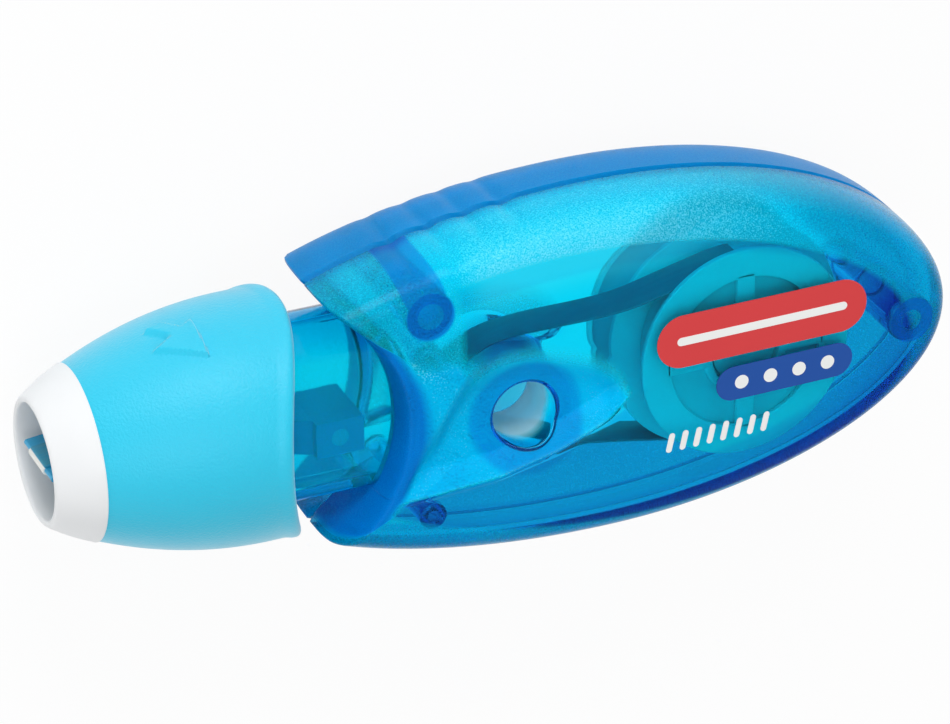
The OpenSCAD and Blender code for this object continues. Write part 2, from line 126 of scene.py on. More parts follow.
def linear(hex_colour: str) -> Four:
    """Turns an sRGB hex colour into linear red, green, blue and full opacity.

    Args:
        hex_colour: Six hex digits after a hash sign.

    Returns:
        The four channels that a shader socket takes.
    """
    shares = [int(hex_colour[i : i + 2], 16) / 255 for i in (1, 3, 5)]
    red, green, blue = [
        s / SRGB_SLOPE if s <= SRGB_KNEE else ((s + SRGB_SHIFT) / (1 + SRGB_SHIFT)) ** SRGB_POWER
        for s in shares]
    return red, green, blue, 1.0


def add_node(tree: NodeTree, kind: str, inputs: dict[Any, Any], **settings: Any) -> Node:
    """Adds a shader node with its settings, and links or sets its inputs.

    Args:
        tree: The node tree that gets the node.
        kind: The node's type, without the prefix of all shader nodes.
        inputs: Sockets by name or number, each with a value, an output or a node for its first output.
        settings: Attributes of the node itself.

    Returns:
        The new node.
    """
    node = tree.nodes.new("ShaderNode" + kind)
    for name, value in settings.items():
        setattr(node, name, value)
    for key, value in inputs.items():
        source = value.outputs[0] if isinstance(value, Node) else value
        if isinstance(source, NodeSocket):
            tree.links.new(source, node.inputs[key])
        else:
            node.inputs[key].default_value = source
    return node


def maths(tree: NodeTree, operation: str, *values: Any, clamp: bool = False) -> Node:
    """Adds arithmetic on two or three values, kept from 0 to 1 where it is clamped."""
    return add_node(tree, "Math", dict(enumerate(values)), operation=operation, use_clamp=clamp)


def remap(tree: NodeTree, value: Any, source: tuple[float, float] = SHARE,
          target: tuple[float, float] = SHARE) -> Node:
    """Adds a straight line from one pair of ends to another, level outside them."""
    return add_node(tree, "MapRange", {"Value": value, "From Min": source[0], "From Max": source[1],
                                       "To Min": target[0], "To Max": target[1]})


def mix(tree: NodeTree, share: Any, first: Any, second: Any) -> NodeSocket:
    """Adds a mix of two colours, and gives its colour."""
    return add_node(tree, "Mix", {0: share, 6: first, 7: second}, data_type="RGBA").outputs[2]


def noise(tree: NodeTree, place: Any, size_mm: float, detail: float) -> Node:
    """Adds noise with features of about that size."""
    return add_node(tree, "TexNoise", {"Vector": place, "Scale": 1 / (size_mm * MM), "Detail": detail})


def bump(tree: NodeTree, height: Any, strength: Any, depth_mm: float) -> Node:
    """Adds a bump of that height, strength and depth."""
    return add_node(tree, "Bump", {"Height": height, "Strength": strength, "Distance": depth_mm * MM})


def mesh_mark(tree: NodeTree, name: str) -> NodeSocket:
    """Gives the mesh's attribute of that name, frost or tone."""
    return add_node(tree, "Attribute", {}, attribute_name=name).outputs["Fac"]


def object_place(tree: NodeTree) -> NodeSocket:
    """Gives each point's place in the object's own axes."""
    return add_node(tree, "TexCoord", {}).outputs["Object"]


def blank_material(name: str) -> tuple[Material, NodeTree]:
    """Makes a material of that name, and gives it and its empty node tree.

    Args:
        name: Name of the material.

    Returns:
        The material and its tree.
    """
    material = bpy.data.materials.new(name)
    material.use_nodes = True
    material.node_tree.nodes.clear()
    return material, material.node_tree


def soft_min(a: Array, b: Array, width: float) -> Array:
    """Smaller of two arrays, with a round of that width where they cross (a polynomial smooth minimum)."""
    share = np.clip(0.5 + 0.5 * (b - a) / width, 0, 1)
    return b * (1 - share) + a * share - width * share * (1 - share)


def smooth_step(low: float, high: float, value: Array) -> Array:
    """Share from 0 at low to 1 at high, level at both ends: 3t squared less 2t cubed."""
    share = np.clip((value - low) / (high - low), 0, 1)
    return share * share * (3 - 2 * share)


def rounded(corners: list[tuple[float, float, float]], steps: int = 5) -> Array:
    """Closed outline through corners, each rounded by a curve that starts and ends one radius from it.

    The curve is the quadratic one from the point before the corner, pulled to it, to the point after.

    Args:
        corners: Two coordinates and a rounding for each corner.
        steps: Points along each rounding.

    Returns:
        Points of the outline, one row each.
    """
    points = np.array([c[:2] for c in corners], float)
    t = np.linspace(0, 1, steps)[:, None]
    pieces = []
    for i, corner in enumerate(corners):
        if corner[2] <= 0:
            pieces.append(points[i : i + 1])
            continue
        arms = []
        for neighbour in (points[i - 1], points[(i + 1) % len(points)]):
            arm = neighbour - points[i]
            length = np.linalg.norm(arm)
            arms.append(points[i] + arm / length * min(corner[2], CORNER_SHARE * length))
        pieces.append((1 - t) ** 2 * arms[0] + 2 * t * (1 - t) * points[i] + t**2 * arms[1])
    return np.concatenate(pieces)


class Surface:
    """Closed grids of points, gathered into one mesh in millimetres from the datum."""

    def __init__(self) -> None:
        """Starts with no points."""
        self.points: list[Array] = []
        self.faces: list[list[int]] = []
        self.marks: dict[str, list[Array]] = {"frost": [], "tone": []}
        self.count = 0

    def add_grid(self, points: Array, wrap_rows: bool = False, wrap_columns: bool = False,
                 frost: Any = 0.0, tone: Any = 0.0) -> None:
        """Adds a grid of points as quads, closes its open ends and turns its faces outwards.

        The sign of the volume, summed over the faces as fans from their first points, says which way they
        point.

        Args:
            points: Rows by columns by x, y and z.
            wrap_rows: Whether the last row joins the first.
            wrap_columns: Whether the last column joins the first.
            frost: Frost of each point or of all, kept as the mesh's frost attribute.
            tone: Tone of each point or of all, kept as the mesh's tone attribute.
        """
        rows, columns = points.shape[:2]
        i, j = np.indices((rows - (not wrap_rows), columns - (not wrap_columns)))
        down, right = (i + 1) % rows, (j + 1) % columns
        corners = (i * columns + j, down * columns + j, down * columns + right, i * columns + right)
        quads = np.stack(corners, axis=-1).reshape(-1, 4)
        flat = points.reshape(-1, 3)
        grid = np.arange(rows * columns).reshape(rows, columns)
        caps = []
        if not wrap_rows and wrap_columns:
            caps = [grid[0], grid[-1][::-1]]
        if wrap_rows and not wrap_columns:
            caps = [grid[:, 0][::-1], grid[:, -1]]
        volume = self.fan_volume(flat, quads) + sum(self.fan_volume(flat, cap[None, :]) for cap in caps)
        turn = -1 if volume < 0 else 1
        self.faces += (quads[:, ::turn] + self.count).tolist()
        self.faces += [(cap[::turn] + self.count).tolist() for cap in caps]
        self.points.append(flat)
        for name, values in (("frost", frost), ("tone", tone)):
            self.marks[name].append(np.broadcast_to(values, points.shape[:2]).reshape(-1))
        self.count += len(flat)

    @classmethod
    def of_rings(cls, *grids: Array) -> "Surface":
        """Makes a surface of grids that close on themselves along rows and columns.

        Args:
            grids: Points of each grid.

        Returns:
            The surface.
        """
        surface = cls()
        for points in grids:
            surface.add_grid(points, wrap_rows=True, wrap_columns=True)
        return surface

    @staticmethod
    def fan_volume(points: Array, faces: Array) -> float:
        """Sixfold volume under faces, each cut into a fan of triangles from its first point."""
        first = points[faces[:, :1]]
        return float(np.sum(first * np.cross(points[faces[:, 1:-1]], points[faces[:, 2:]])))

    def build(self, name: str, datum: Datum, crease: float = 32) -> Object:
        """Makes the object, smooth apart from edges sharper than the crease angle.

        Args:
            name: Name of the object and its mesh.
            datum: Where the millimetres count from.
            crease: Angle in degrees above which an edge stays sharp.

        Returns:
            The new object, linked to the scene.
        """
        mesh = bpy.data.meshes.new(name)
        mesh.from_pydata(datum.place(np.concatenate(self.points)).tolist(), [], self.faces)
        for mark, values in self.marks.items():
            attribute = mesh.attributes.new(mark, "FLOAT", "POINT")
            attribute.data.foreach_set("value", np.concatenate(values).astype(np.float32))
        mesh.polygons.foreach_set("use_smooth", np.ones(len(mesh.polygons), dtype=bool))
        mesh.set_sharp_from_angle(angle=math.radians(crease))
        mesh.update()
        item = bpy.data.objects.new(name, mesh)
        bpy.context.scene.collection.objects.link(item)
        return item


def revolve(profile: Array, turns: Array, centre: Array, axis: str) -> Array:
    """Carries a profile of radius and height round an axis: (radius cos, radius sin, height).

    Args:
        profile: Radius and height along the axis, one row each.
        turns: Angles in radians, one for each row of the result.
        centre: Where the axis starts, in millimetres.
        axis: "z" for an axis along Z, or "x" for one along X, whose angles run from +Y to +Z.

    Returns:
        Points, angles by profile by x, y and z.
    """
    across = profile[None, :, 0] * np.cos(turns)[:, None]
    up = profile[None, :, 0] * np.sin(turns)[:, None]
    along = np.broadcast_to(profile[None, :, 1], across.shape)
    order = (across, up, along) if axis == "z" else (along, across, up)
    return np.stack(order, axis=-1) + centre


def full_turn(steps: int) -> Array:
    """Angles of one turn, without the last, which is the first again."""
    return np.linspace(0, 2 * math.pi, steps, endpoint=False)


def sweep(path: Array, normals: Array, level: Array, profile: Array) -> Array:
    """Carries a profile along a flat path: path plus normal times the profile's first, height its second.

    Args:
        path: Points in X and Y.
        normals: Unit normals in X and Y, one for each point of the path.
        level: Height of each point of the path.
        profile: Offsets along the normal and along Z.

    Returns:
        Points, path by profile by x, y and z.
    """
    flat = path[:, None, :] + normals[:, None, :] * profile[None, :, :1]
    height = level[:, None] + profile[None, :, 1]
    return np.concatenate([flat, height[..., None]], axis=-1)


def path_normals(path: Array) -> Array:
    """Unit normals of a path in X and Y, to the left of its way.

    Args:
        path: Points in X and Y.

    Returns:
        One unit normal for each point.
    """
    way = np.gradient(path, axis=0)
    way /= np.linalg.norm(way, axis=1, keepdims=True)
    return np.stack([-way[:, 1], way[:, 0]], axis=-1)


@dataclass(frozen=True)
class TintedPolystyrene:
    """Blue translucent polystyrene, injection moulded: polished windows and spark-eroded frosted zones.

    Gives the eye a clear cyan pane that darkens with the depth of plastic, and a milky grain where it is
    frosted.
    """

    name: str = "tinted_polystyrene_moulded"
    ior: float = 1.23
    clear_rough: float = 0.03
    frost_rough: float = 0.36
    grain_mm: float = 0.16
    grain_detail: float = 1.0
    grain_depth_mm: float = 0.05
    grain_strength: float = 0.6
    clear_colour: Four = (0.0, 0.98, 1.0, 1.0)
    frost_colour: Four = (0.0, 0.58, 0.94, 1.0)
    absorbed: Four = (0.0, 0.945, 0.997, 1.0)
    depth_density: float = 1500.0
    milk: float = 0.78
    deep_milk: float = 0.65
    leaf_milk: float = 0.2
    glint: float = 0.26
    border_frost: float = 0.52
    sand_low: float = 0.65
    sand_high: float = 1.35
    deep_colour: Four = (0.0, 0.2, 0.66, 1.0)
    # Painted light: the colour of the painted glints, the painted shoulder highlight and the pale hole walls.
    painted_light_colour: str = "#DCF6FF"
    reflected: Four = (0.6, 0.9, 1.0, 1.0)
    gloss: float = 0.2
    mark_frost: float = 0.5
    mark_soft: float = 0.07
    # Each mark: middle along X and Y, half length, half height, tilt, share of the bore, strength.
    marks: tuple[tuple[float, ...], ...] = (
        (38.05, 11.35, 2.5, 2.5, 0.0, 0.5, 0.95), (37.4, 14.0, 2.1, 4.8, 18.8, 0.0, 0.62),
        (90.3, -0.6, 2.4, 2.4, 0.0, 0.48, 0.95))
    window_oval: Oval = (57.2, -0.5, 33.4, 15.2, -4.1)
    window_soft: float = 0.015
    front_oval: Oval = (28.0, 8.0, 13.4, 17.0, 0.0)
    front_soft: float = 0.04

    @staticmethod
    def oval(tree: NodeTree, place: NodeSocket, datum: Datum,
             sizes: tuple[float, ...]) -> NodeSocket:
        """How far a point lies from an oval's middle, where 1 is its edge.

        Args:
            tree: Node tree of the material.
            place: Object coordinates.
            datum: Where the millimetres count from.
            sizes: Middle along X and Y, half length, half height and tilt in degrees.

        Returns:
            The share as a socket.
        """
        x, y, half_x, half_y, tilt = sizes
        middle = datum.place(np.array([x, y, 0.0]))
        mapped = add_node(tree, "Mapping", {
            "Vector": place, "Location": (middle[0], middle[1], 0.0),
            "Rotation": (0.0, 0.0, math.radians(tilt)),
            "Scale": (half_x * MM, half_y * MM, FLATTEN)}, vector_type="TEXTURE")
        return add_node(tree, "VectorMath", {0: mapped}, operation="LENGTH").outputs["Value"]

    def boss_marks(self, tree: NodeTree, place: NodeSocket, datum: Datum,
                   frost: NodeSocket) -> Node:
        """Deep rings and webs on the outer skin where a boss thickens the wall behind it.

        Args:
            tree: Node tree of the material.
            place: Object coordinates.
            datum: Where the millimetres count from.
            frost: The mesh's frost, minus one on the inner skins, which stay clear of marks.

        Returns:
            The node that gives the depth of the mark.
        """
        deepest = None
        for *sizes, bore, strength in self.marks:
            share = self.oval(tree, place, datum, tuple(sizes))
            within = remap(tree, share, (1 + self.mark_soft, 1 - self.mark_soft), (0.0, strength))
            around = remap(tree, share, (bore - self.mark_soft, bore + self.mark_soft))
            ring = maths(tree, "MULTIPLY", within, around)
            deepest = maths(tree, "MAXIMUM", deepest, ring) if deepest else ring
        outer = maths(tree, "ADD", frost, 1.0, clamp=True)
        return maths(tree, "MULTIPLY", deepest, outer)

    def material(self, datum: Datum) -> Material:
        """Makes the plastic: the ovals, the marks and the mesh's frost and tone set grain, milk and colour.

        Args:
            datum: Where the ovals and the marks count from.

        Returns:
            The material.
        """
        material, tree = blank_material(self.name)
        place = object_place(tree)
        # Frost: the border outside the window, the front end, the marks and what the mesh carries.
        window = self.oval(tree, place, datum, self.window_oval)
        front = self.oval(tree, place, datum, self.front_oval)
        outside = remap(tree, window, (1 - self.window_soft, 1 + self.window_soft))
        inside = remap(tree, front, (1 + self.front_soft, 1 - self.front_soft))
        border = maths(tree, "MAXIMUM", outside, inside)
        sandy = maths(tree, "MULTIPLY", border, self.border_frost)
        frost = mesh_mark(tree, "frost")
        mark = self.boss_marks(tree, place, datum, frost)
        dull = maths(tree, "MULTIPLY_ADD", mark, self.mark_frost, frost)
        milky = maths(tree, "ADD", sandy, dull, clamp=True)
        # Grain: sand that roughens the frost and breaks it into specks.
        rough = remap(tree, milky, target=(self.clear_rough, self.frost_rough))
        grain = noise(tree, place, self.grain_mm, self.grain_detail)
        sand = remap(tree, grain, NOISE_RANGE, (self.sand_low, self.sand_high))
        specks = maths(tree, "MULTIPLY", milky, sand)
        depth = maths(tree, "MULTIPLY", milky, self.grain_strength)
        normal = bump(tree, grain, depth, self.grain_depth_mm)
        # Milk: the share of light that the frost scatters, less in deep tones and more where a tone above zero
        # paints light.
        tone = maths(tree, "SUBTRACT", mesh_mark(tree, "tone"), mark)
        pale = maths(tree, "MAXIMUM", tone, 0.0)
        hazy = remap(tree, tone, (-1.0, 0.0), (self.deep_milk, self.milk))
        veil = maths(tree, "MULTIPLY_ADD", specks, hazy, pale, clamp=True)
        sunk = maths(tree, "MAXIMUM", frost, 0.0)
        sanded = maths(tree, "MULTIPLY", sunk, sand)
        milk = maths(tree, "MULTIPLY_ADD", sanded, self.leaf_milk, veil, clamp=True)
        clear = maths(tree, "SUBTRACT", 1.0, milk)
        # Colour: clear to frosted by the frost and deeper by a tone below zero. A tone above zero and
        # the glints in the grain paint light, mixing towards the painted light colour.
        skin = mix(tree, milky, self.clear_colour, self.frost_colour)
        deep = maths(tree, "MULTIPLY", tone, -1.0, clamp=True)
        thick = mix(tree, deep, skin, self.deep_colour)
        glint = remap(tree, grain, NOISE_RANGE, (-self.glint, self.glint))
        light = maths(tree, "MULTIPLY_ADD", glint, milky, tone)
        colour = mix(tree, light, thick, linear(self.painted_light_colour))
        shader = add_node(tree, "BsdfPrincipled", {
            "Base Color": colour, "Transmission Weight": clear, "IOR": self.ior,
            "Specular Tint": self.reflected, "Specular IOR Level": self.gloss, "Roughness": rough,
            "Normal": normal})
        tint = add_node(tree, "VolumeAbsorption", {"Color": self.absorbed, "Density": self.depth_density})
        add_node(tree, "OutputMaterial", {"Surface": shader, "Volume": tint})
        return material


@dataclass(frozen=True)
class MouldedPlastic:
    """Moulded plastic or a coat as even: a colour that drifts a little, a fine texture and a soft gloss.

    Gives the eye a satin skin with faint flow clouds, finer or coarser by its grain.
    """

    name: str
    colour: str
    drift: str
    rough: float = 0.35
    grain_mm: float = 0.2
    grain_strength: float = 0.06
    grain_depth_mm: float = 0.05
    rough_spread: float = 0.15
    ior: float = 1.49
    cloud_mm: float = 9.0
    cloud_detail: float = 3.0
    grain_detail: float = 2.0
    glow: float = 0.0
    glow_mm: float = 1.0
    clear: float = 0.0
    sheen: float = 0.0

    def material(self) -> Material:
        """Makes the plastic: clouds drift the colour, grain sets bump and breaks up the roughness.

        Returns:
            The material.
        """
        material, tree = blank_material(self.name)
        place = object_place(tree)
        cloud = noise(tree, place, self.cloud_mm, self.cloud_detail)
        colour = mix(tree, cloud, linear(self.colour), linear(self.drift))
        grain = noise(tree, place, self.grain_mm, self.grain_detail)
        rough = remap(tree, grain, target=(self.rough * (1 - self.rough_spread),
                                           self.rough * (1 + self.rough_spread)))
        normal = bump(tree, grain, self.grain_strength, self.grain_depth_mm)
        shader = add_node(tree, "BsdfPrincipled", {
            "Base Color": colour, "Roughness": rough, "IOR": self.ior, "Normal": normal,
            "Transmission Weight": self.clear, "Sheen Weight": self.sheen, "Subsurface Weight": self.glow,
            "Subsurface Radius": (self.glow_mm * MM,) * 3, "Subsurface Scale": 1.0})
        add_node(tree, "OutputMaterial", {"Surface": shader})
        return material


@dataclass(frozen=True)
class DrawnSteel:
    """Spring steel, drawn to wire or pressed from strip.

    Gives the eye bright metal with fine draw lines along its way.
    """

    name: str = "spring_steel_drawn"
    colour: str = "#B9BDC2"
    rough: float = 0.3
    rough_low: float = 0.8
    rough_high: float = 1.3
    line_mm: float = 0.12
    line_detail: float = 3.0
    line_stretch: tuple[float, float, float] = (0.1, 0.1, 1.0)
    line_strength: float = 0.2
    line_depth_mm: float = 0.02

    def material(self) -> Material:
        """Makes the steel: stretched noise draws the lines in roughness and bump.

        Returns:
            The material.
        """
        material, tree = blank_material(self.name)
        stretch = add_node(tree, "Mapping", {"Vector": object_place(tree), "Scale": self.line_stretch})
        lines = noise(tree, stretch, self.line_mm, self.line_detail)
        rough = remap(tree, lines, target=(self.rough * self.rough_low, self.rough * self.rough_high))
        normal = bump(tree, lines, self.line_strength, self.line_depth_mm)
        shader = add_node(tree, "BsdfPrincipled", {"Base Color": linear(self.colour), "Metallic": 1.0,
                                                   "Roughness": rough, "Normal": normal})
        add_node(tree, "OutputMaterial", {"Surface": shader})
        return material


@dataclass(frozen=True)
class CoatedFilm:
    """Thin release film with a dry white coat on one side: dark and glossy bare, chalky where it is coated.

    Gives the eye a dark glassy ribbon and, by the mesh's frost attribute, a matt white one.
    """

    name: str = "release_film_coated"
    bare: str = "#4A8E9E"
    streaked: str = "#5B9DAC"
    coat: str = "#F3F3EE"
    bare_rough: float = 0.15
    coat_rough: float = 0.75
    grain_mm: float = 0.1
    grain_strength: float = 0.15
    grain_depth_mm: float = 0.02
    grain_detail: float = 2.0
    band_mm: float = 0.45
    band_detail: float = 2.0
    band_stretch: tuple[float, float, float] = (0.15, 0.15, 1.0)
    ior: float = 1.2
    sheer: float = 0.97

    def material(self) -> Material:
        """Makes the film: frost picks coat or film, tone makes it sheer, noise streaks and roughens it.

        Returns:
            The material.
        """
        material, tree = blank_material(self.name)
        place = object_place(tree)
        coated = mesh_mark(tree, "frost")
        streak = add_node(tree, "Mapping", {"Vector": place, "Scale": self.band_stretch})
        bands = noise(tree, streak, self.band_mm, self.band_detail)
        film = mix(tree, bands, linear(self.bare), linear(self.streaked))
        colour = mix(tree, coated, film, linear(self.coat))
        grain = noise(tree, place, self.grain_mm, self.grain_detail)
        sheer = mesh_mark(tree, "tone")
        chalky = maths(tree, "SUBTRACT", coated, sheer, clamp=True)
        rough = remap(tree, chalky, target=(self.bare_rough, self.coat_rough))
        normal = bump(tree, grain, self.grain_strength, self.grain_depth_mm)
        solid = remap(tree, sheer, target=(1.0, 1 - self.sheer))
        shader = add_node(tree, "BsdfPrincipled", {
            "Base Color": colour, "Roughness": rough, "IOR": self.ior, "Alpha": solid, "Normal": normal})
        add_node(tree, "OutputMaterial", {"Surface": shader})
        return material


@dataclass
class Piece:
    """One finished object with what it rides on, stands for and is made of."""

    item: Object
    body: str
    slot: str
    finish: Material
    replaces: tuple[str, ...] = ()

    def settle(self) -> None:
        """Dresses the piece, hangs it on its body's empty and hides the nodes that it replaces."""
        self.item.data.materials.clear()
        self.item.data.materials.append(self.finish)
        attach(self.item, self.body)
        if self.replaces:
            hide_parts(*self.replaces)
        LOG.info("%s: %d faces on %s", self.item.name, len(self.item.data.polygons), self.body)


@dataclass
class BodyShell:
    """Half of the body: an oval bowl with a concave front, a finger dish and a guide tube round the hole.

    Lengths are in millimetres from the nose opening on the cap's axis. Half heights, tail and hole come from
    the frame, through from_frame. Tones below zero are deeper than the plain plastic; tones above zero are
    painted light, paler than the plain plastic.
    """

    datum: Datum
    side: Side
    half_h: float
    half_t: float
    tail_x: float
    hole_x: float
    hole_y: float
    hole_r: float
    # Outline, wall and front cut.
    mid_x: float = 58.0
    front: float = 44.0
    edge_w: float = 4.5
    edge_power: float = 3.2
    wall: float = 1.4
    crown: float = 0.35
    chamfer: float = 0.45
    seam: float = 0.06
    cut_x: float = 20.6
    cut_r: float = 14.7
    cut_edge: float = 0.9
    # Neck and journal.
    neck_r: float = 9.2
    neck_half_t: float = 5.2
    neck_wall: float = 1.1
    neck_front: float = 20.2
    neck_round: float = 0.5
    neck_overlap: float = 0.3
    journal_r: float = 7.2
    journal_wall: float = 1.0
    journal_front: float = 5.2
    # Guide tube and grip grooves.
    tube_wall: float = 2.2
    hole_round: float = 0.5
    groove_count: int = 4
    groove_depth: float = 0.32
    groove_pitch: float = 4.0
    groove_lead: float = 11.4
    groove_half_w: float = 0.8
    # Bosses, pin, film posts and axle.
    boss_r: float = 2.5
    pin_r: float = 1.3
    post_r: float = 1.5
    core_r: float = 0.6
    axle_r: float = 2.4
    axle_wall: float = 1.0
    boss_lead: float = 10.35
    boss_up: float = 6.85
    boss_tail: float = 5.3
    boss_tail_y: float = -0.6
    pin_down: float = 7.15
    low_pin_r: float = 1.4
    post_end: float = 1.8
    post_round: float = 0.2
    # Finger dish: its depth, slopes, bead and both edges.
    dish_depth: float = 1.8
    low_slope: float = 2.2
    low_power: float = 1.2
    up_slope: float = 5.5
    bead_rise: float = 0.16
    bead_half_w: float = 0.3
    leaf_round: int = 41
    leaf_low: tuple[tuple[float, float], ...] = (
        (30.0, -8.8), (37.5, -8.5), (44.9, -8.0), (51.4, -6.4), (56.9, -4.1), (59.4, -1.5))
    leaf_up: tuple[tuple[float, float], ...] = (
        (30.0, -6.5), (36.0, -3.0), (38.8, -0.2), (40.4, 2.7), (42.1, 5.2), (45.3, 6.6), (48.5, 6.7),
        (51.6, 5.7), (55.5, 4.2), (58.1, 2.0), (59.4, -1.5))
    # Frost, from minus one on clear inner skins to one.
    low_line: float = 0.35
    milk_share: float = 0.7
    front_milk: Four = (-2.5, -7.5, 7.0, 3.0)
    back_frost: float = 0.3
    back_border_frost: float = 0.35
    hole_frost: float = -0.5
    neck_frost: float = -0.3
    post_frost: float = 0.4
    # Tones of the border and its lip, and the painted highlight on its shoulder.
    border_tone: float = -0.56
    deep_rim: float = 1.6
    deep_lip: float = 2.6
    back_lip: float = 6.0
    low_border: tuple[float, float] = (2.0, -8.0)
    low_share: float = 0.6
    palm_rise: float = 6.0
    palm_tone: float = -0.2
    cut_tone: float = -1.0
    back_cut_tone: float = -0.3
    # Painted highlight: a pale band up the shoulder on the upper edge, the side that faces the light.
    shoulder_highlight: float = 0.16
    shoulder_low: float = 4.0
    shoulder_top: float = 9.0
    shoulder_in: float = 4.5
    shoulder_run: Four = (-10.0, -3.0, 8.0, 28.0)
    front_tone: float = -0.1
    front_run: tuple[float, float] = (-4.0, -9.0)
    tail_tone: float = -0.4
    tail_run: tuple[float, float] = (22.0, 42.0)
    # Tones of the rest.
    leaf_tone: float = -0.2
    ring_tone: float = -0.45
    ring_soft: float = 0.9
    # Painted light: the hole walls are pale, standing in for the bright backdrop seen through the hole.
    hole_painted_light: float = 0.8
    back_hole_painted_light: float = 0.4
    tube_tone: float = -0.05
    wall_tone: float = -0.2
    inner_tone: float = -0.27
    neck_tone: float = -0.08
    neck_side_tone: float = -0.6
    neck_side: float = 0.7
    post_tone: float = -1.0
    shaft_tone: float = -0.3
    # Points along each part of the grids.
    rays: int = 720
    chamfer_steps: int = 4
    border_steps: int = 16
    face_steps: int = 23
    face_power: float = 0.6
    dish_steps: int = 25
    dish_power: float = 1.5
    mouth_steps: int = 5
    wall_levels: tuple[float, ...] = (0.0, 0.35, 0.7, 1.0)
    under_steps: int = 19
    leaf_points: int = 400
    leaf_steps: int = 300
    corner_spread: tuple[int, ...] = (1, 3, 4, 3, 1)
    neck_turns: int = 97
    neck_steps: int = 13
    post_turns: int = 48

    @classmethod
    def from_frame(cls, datum: Datum, side: Side, record: dict[str, Any]) -> "BodyShell":
        """Takes the body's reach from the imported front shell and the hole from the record's mount.

        Args:
            datum: Where the millimetres count from.
            side: The shell to make.
            record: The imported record.

        Returns:
            The shell's sizes.
        """
        low, high = (datum.measure(corner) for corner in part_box("front_shell"))
        mount = next(m for m in record["mounts"] if m["name"] == "finger_hole")
        hole = datum.measure(mount["pos_m"])
        return cls(datum, side, half_h=(high[1] - low[1]) / 2, half_t=high[2], tail_x=high[0],
                   hole_x=hole[0], hole_y=hole[1], hole_r=mount["dims"]["r_mm"])

    @property
    def tube_r(self) -> float:
        """Outer radius of the guide tube."""
        return self.hole_r + self.tube_wall

    def outline_reach(self, cos: Array, sin: Array, inset: Array) -> Array:
        """Distance from the hole to the shrunken outline: the positive root of the ellipse on each half.

        Args:
            cos: Cosines of the rays.
            sin: Sines of the rays.
            inset: How far the outline is shrunk.

        Returns:
            Distances, as wide as the arrays given.
        """
        off_x = self.hole_x - self.mid_x
        reaches = []
        for semi in (self.tail_x - self.mid_x, self.front):
            a, b = semi - inset, self.half_h - inset
            square = (cos / a) ** 2 + (sin / b) ** 2
            half = off_x * cos / a**2 + self.hole_y * sin / b**2
            rest = (off_x / a) ** 2 + (self.hole_y / b) ** 2 - 1
            reaches.append((-half + np.sqrt(half**2 - square * rest)) / square)
        return np.where(off_x + reaches[0] * cos >= 0, reaches[0], reaches[1])

    def cut_reach(self, cos: Array, sin: Array, radius: Array) -> Array:
        """Distance from the hole to the round front cut: the circle's nearer root, or far if missed.

        Args:
            cos: Cosines of the rays.
            sin: Sines of the rays.
            radius: Radius of the cut at each level.

        Returns:
            Distances, rays by levels.
        """
        along = (self.hole_x - self.cut_x) * cos + self.hole_y * sin
        off = (self.hole_x - self.cut_x) ** 2 + self.hole_y**2 - radius**2
        inside = along**2 - off
        return np.where((inside > 0) & (along < 0), -along - np.sqrt(np.maximum(inside, 0)), FAR)

    def grooves(self, x: Array, y: Array) -> Array:
        """Depth of the grip grooves at points of the palm edge: a row of bells, zero on the other edge.

        Args:
            x: Places along X.
            y: Places along Y.

        Returns:
            The depth at each point.
        """
        first = self.hole_x - self.groove_lead
        centres = first + self.groove_pitch * np.arange(self.groove_count)
        dips = np.exp(-(((x[..., None] - centres) / self.groove_half_w) ** 2)).sum(axis=-1)
        return np.where(y > 0, self.groove_depth * dips, 0)

    def edge(self, cos: Array, sin: Array, inset: Array, cut_in: Array, dip: Array) -> Array:
        """Distance from the hole to the moulding's edge: the nearer of the outline and the front cut.

        Args:
            cos: Cosines of the rays, as a column.
            sin: Sines of the rays, as a column.
            inset: Shrinkage of the outline at each level.
            cut_in: How far the cut is widened at each level.
            dip: Share of the grooves' depth at each level.

        Returns:
            Distances, rays by levels, with the corner where the two meet softened along the rays.
        """
        plain = self.outline_reach(cos, sin, np.zeros((1, 1)))
        deep = self.grooves(self.hole_x + plain * cos, self.hole_y + plain * sin)
        reach = np.minimum(self.outline_reach(cos, sin, inset + deep * dip),
                           self.cut_reach(cos, sin, self.cut_r + cut_in))
        spread = np.array(self.corner_spread) / sum(self.corner_spread)
        return sum(w * np.roll(reach, k - len(spread) // 2, axis=0) for k, w in enumerate(spread))

    def leaf_edge(self, corners: tuple[tuple[float, float], ...], x: Array) -> Array:
        """Height of one edge of the dish at each x: the line through its corners under a sliding mean.

        Args:
            corners: Corners of the edge, in order of x.
            x: Places along X.

        Returns:
            The edge's y at each place.
        """
        along, across = np.array(corners).T
        fine = np.linspace(along[0], along[-1], self.leaf_points)
        window = np.hanning(self.leaf_round)
        line = np.interp(fine, along, across)
        line = np.pad(line, self.leaf_round // 2, mode="reflect", reflect_type="odd")
        return np.interp(x, fine, np.convolve(line, window / window.sum(), mode="valid"))

    def dish(self, x: Array, y: Array) -> tuple[Array, Array]:
        """Depth and frost of the finger dish, a leaf with a crisp lower edge and a soft upper one.

        The depth is the product of the shares of the way in from both edges, the lower raised to a power
        near one and the upper eased. A fine bell-shaped bead stands along the lower edge.

        Args:
            x: Places along X.
            y: Places along Y.

        Returns:
            The depth and the frost at each point.
        """
        from_low = y - self.leaf_edge(self.leaf_low, x)
        from_up = self.leaf_edge(self.leaf_up, x) - y
        rise = np.clip(from_low / self.low_slope, 0, 1) ** self.low_power
        depth = self.dish_depth * rise * smooth_step(0, self.up_slope, from_up)
        bell = np.exp(-((from_low / self.bead_half_w) ** 2))
        bead = self.bead_rise * bell * smooth_step(0, 1, from_up)
        rear, fore, top, low = self.front_milk
        front = smooth_step(self.hole_x + rear, self.hole_x + fore, x) * smooth_step(top, low, y)
        soft = np.maximum(smooth_step(0, self.up_slope * self.milk_share, from_up), front)
        return depth - bead, smooth_step(0, self.low_line, from_low) * soft

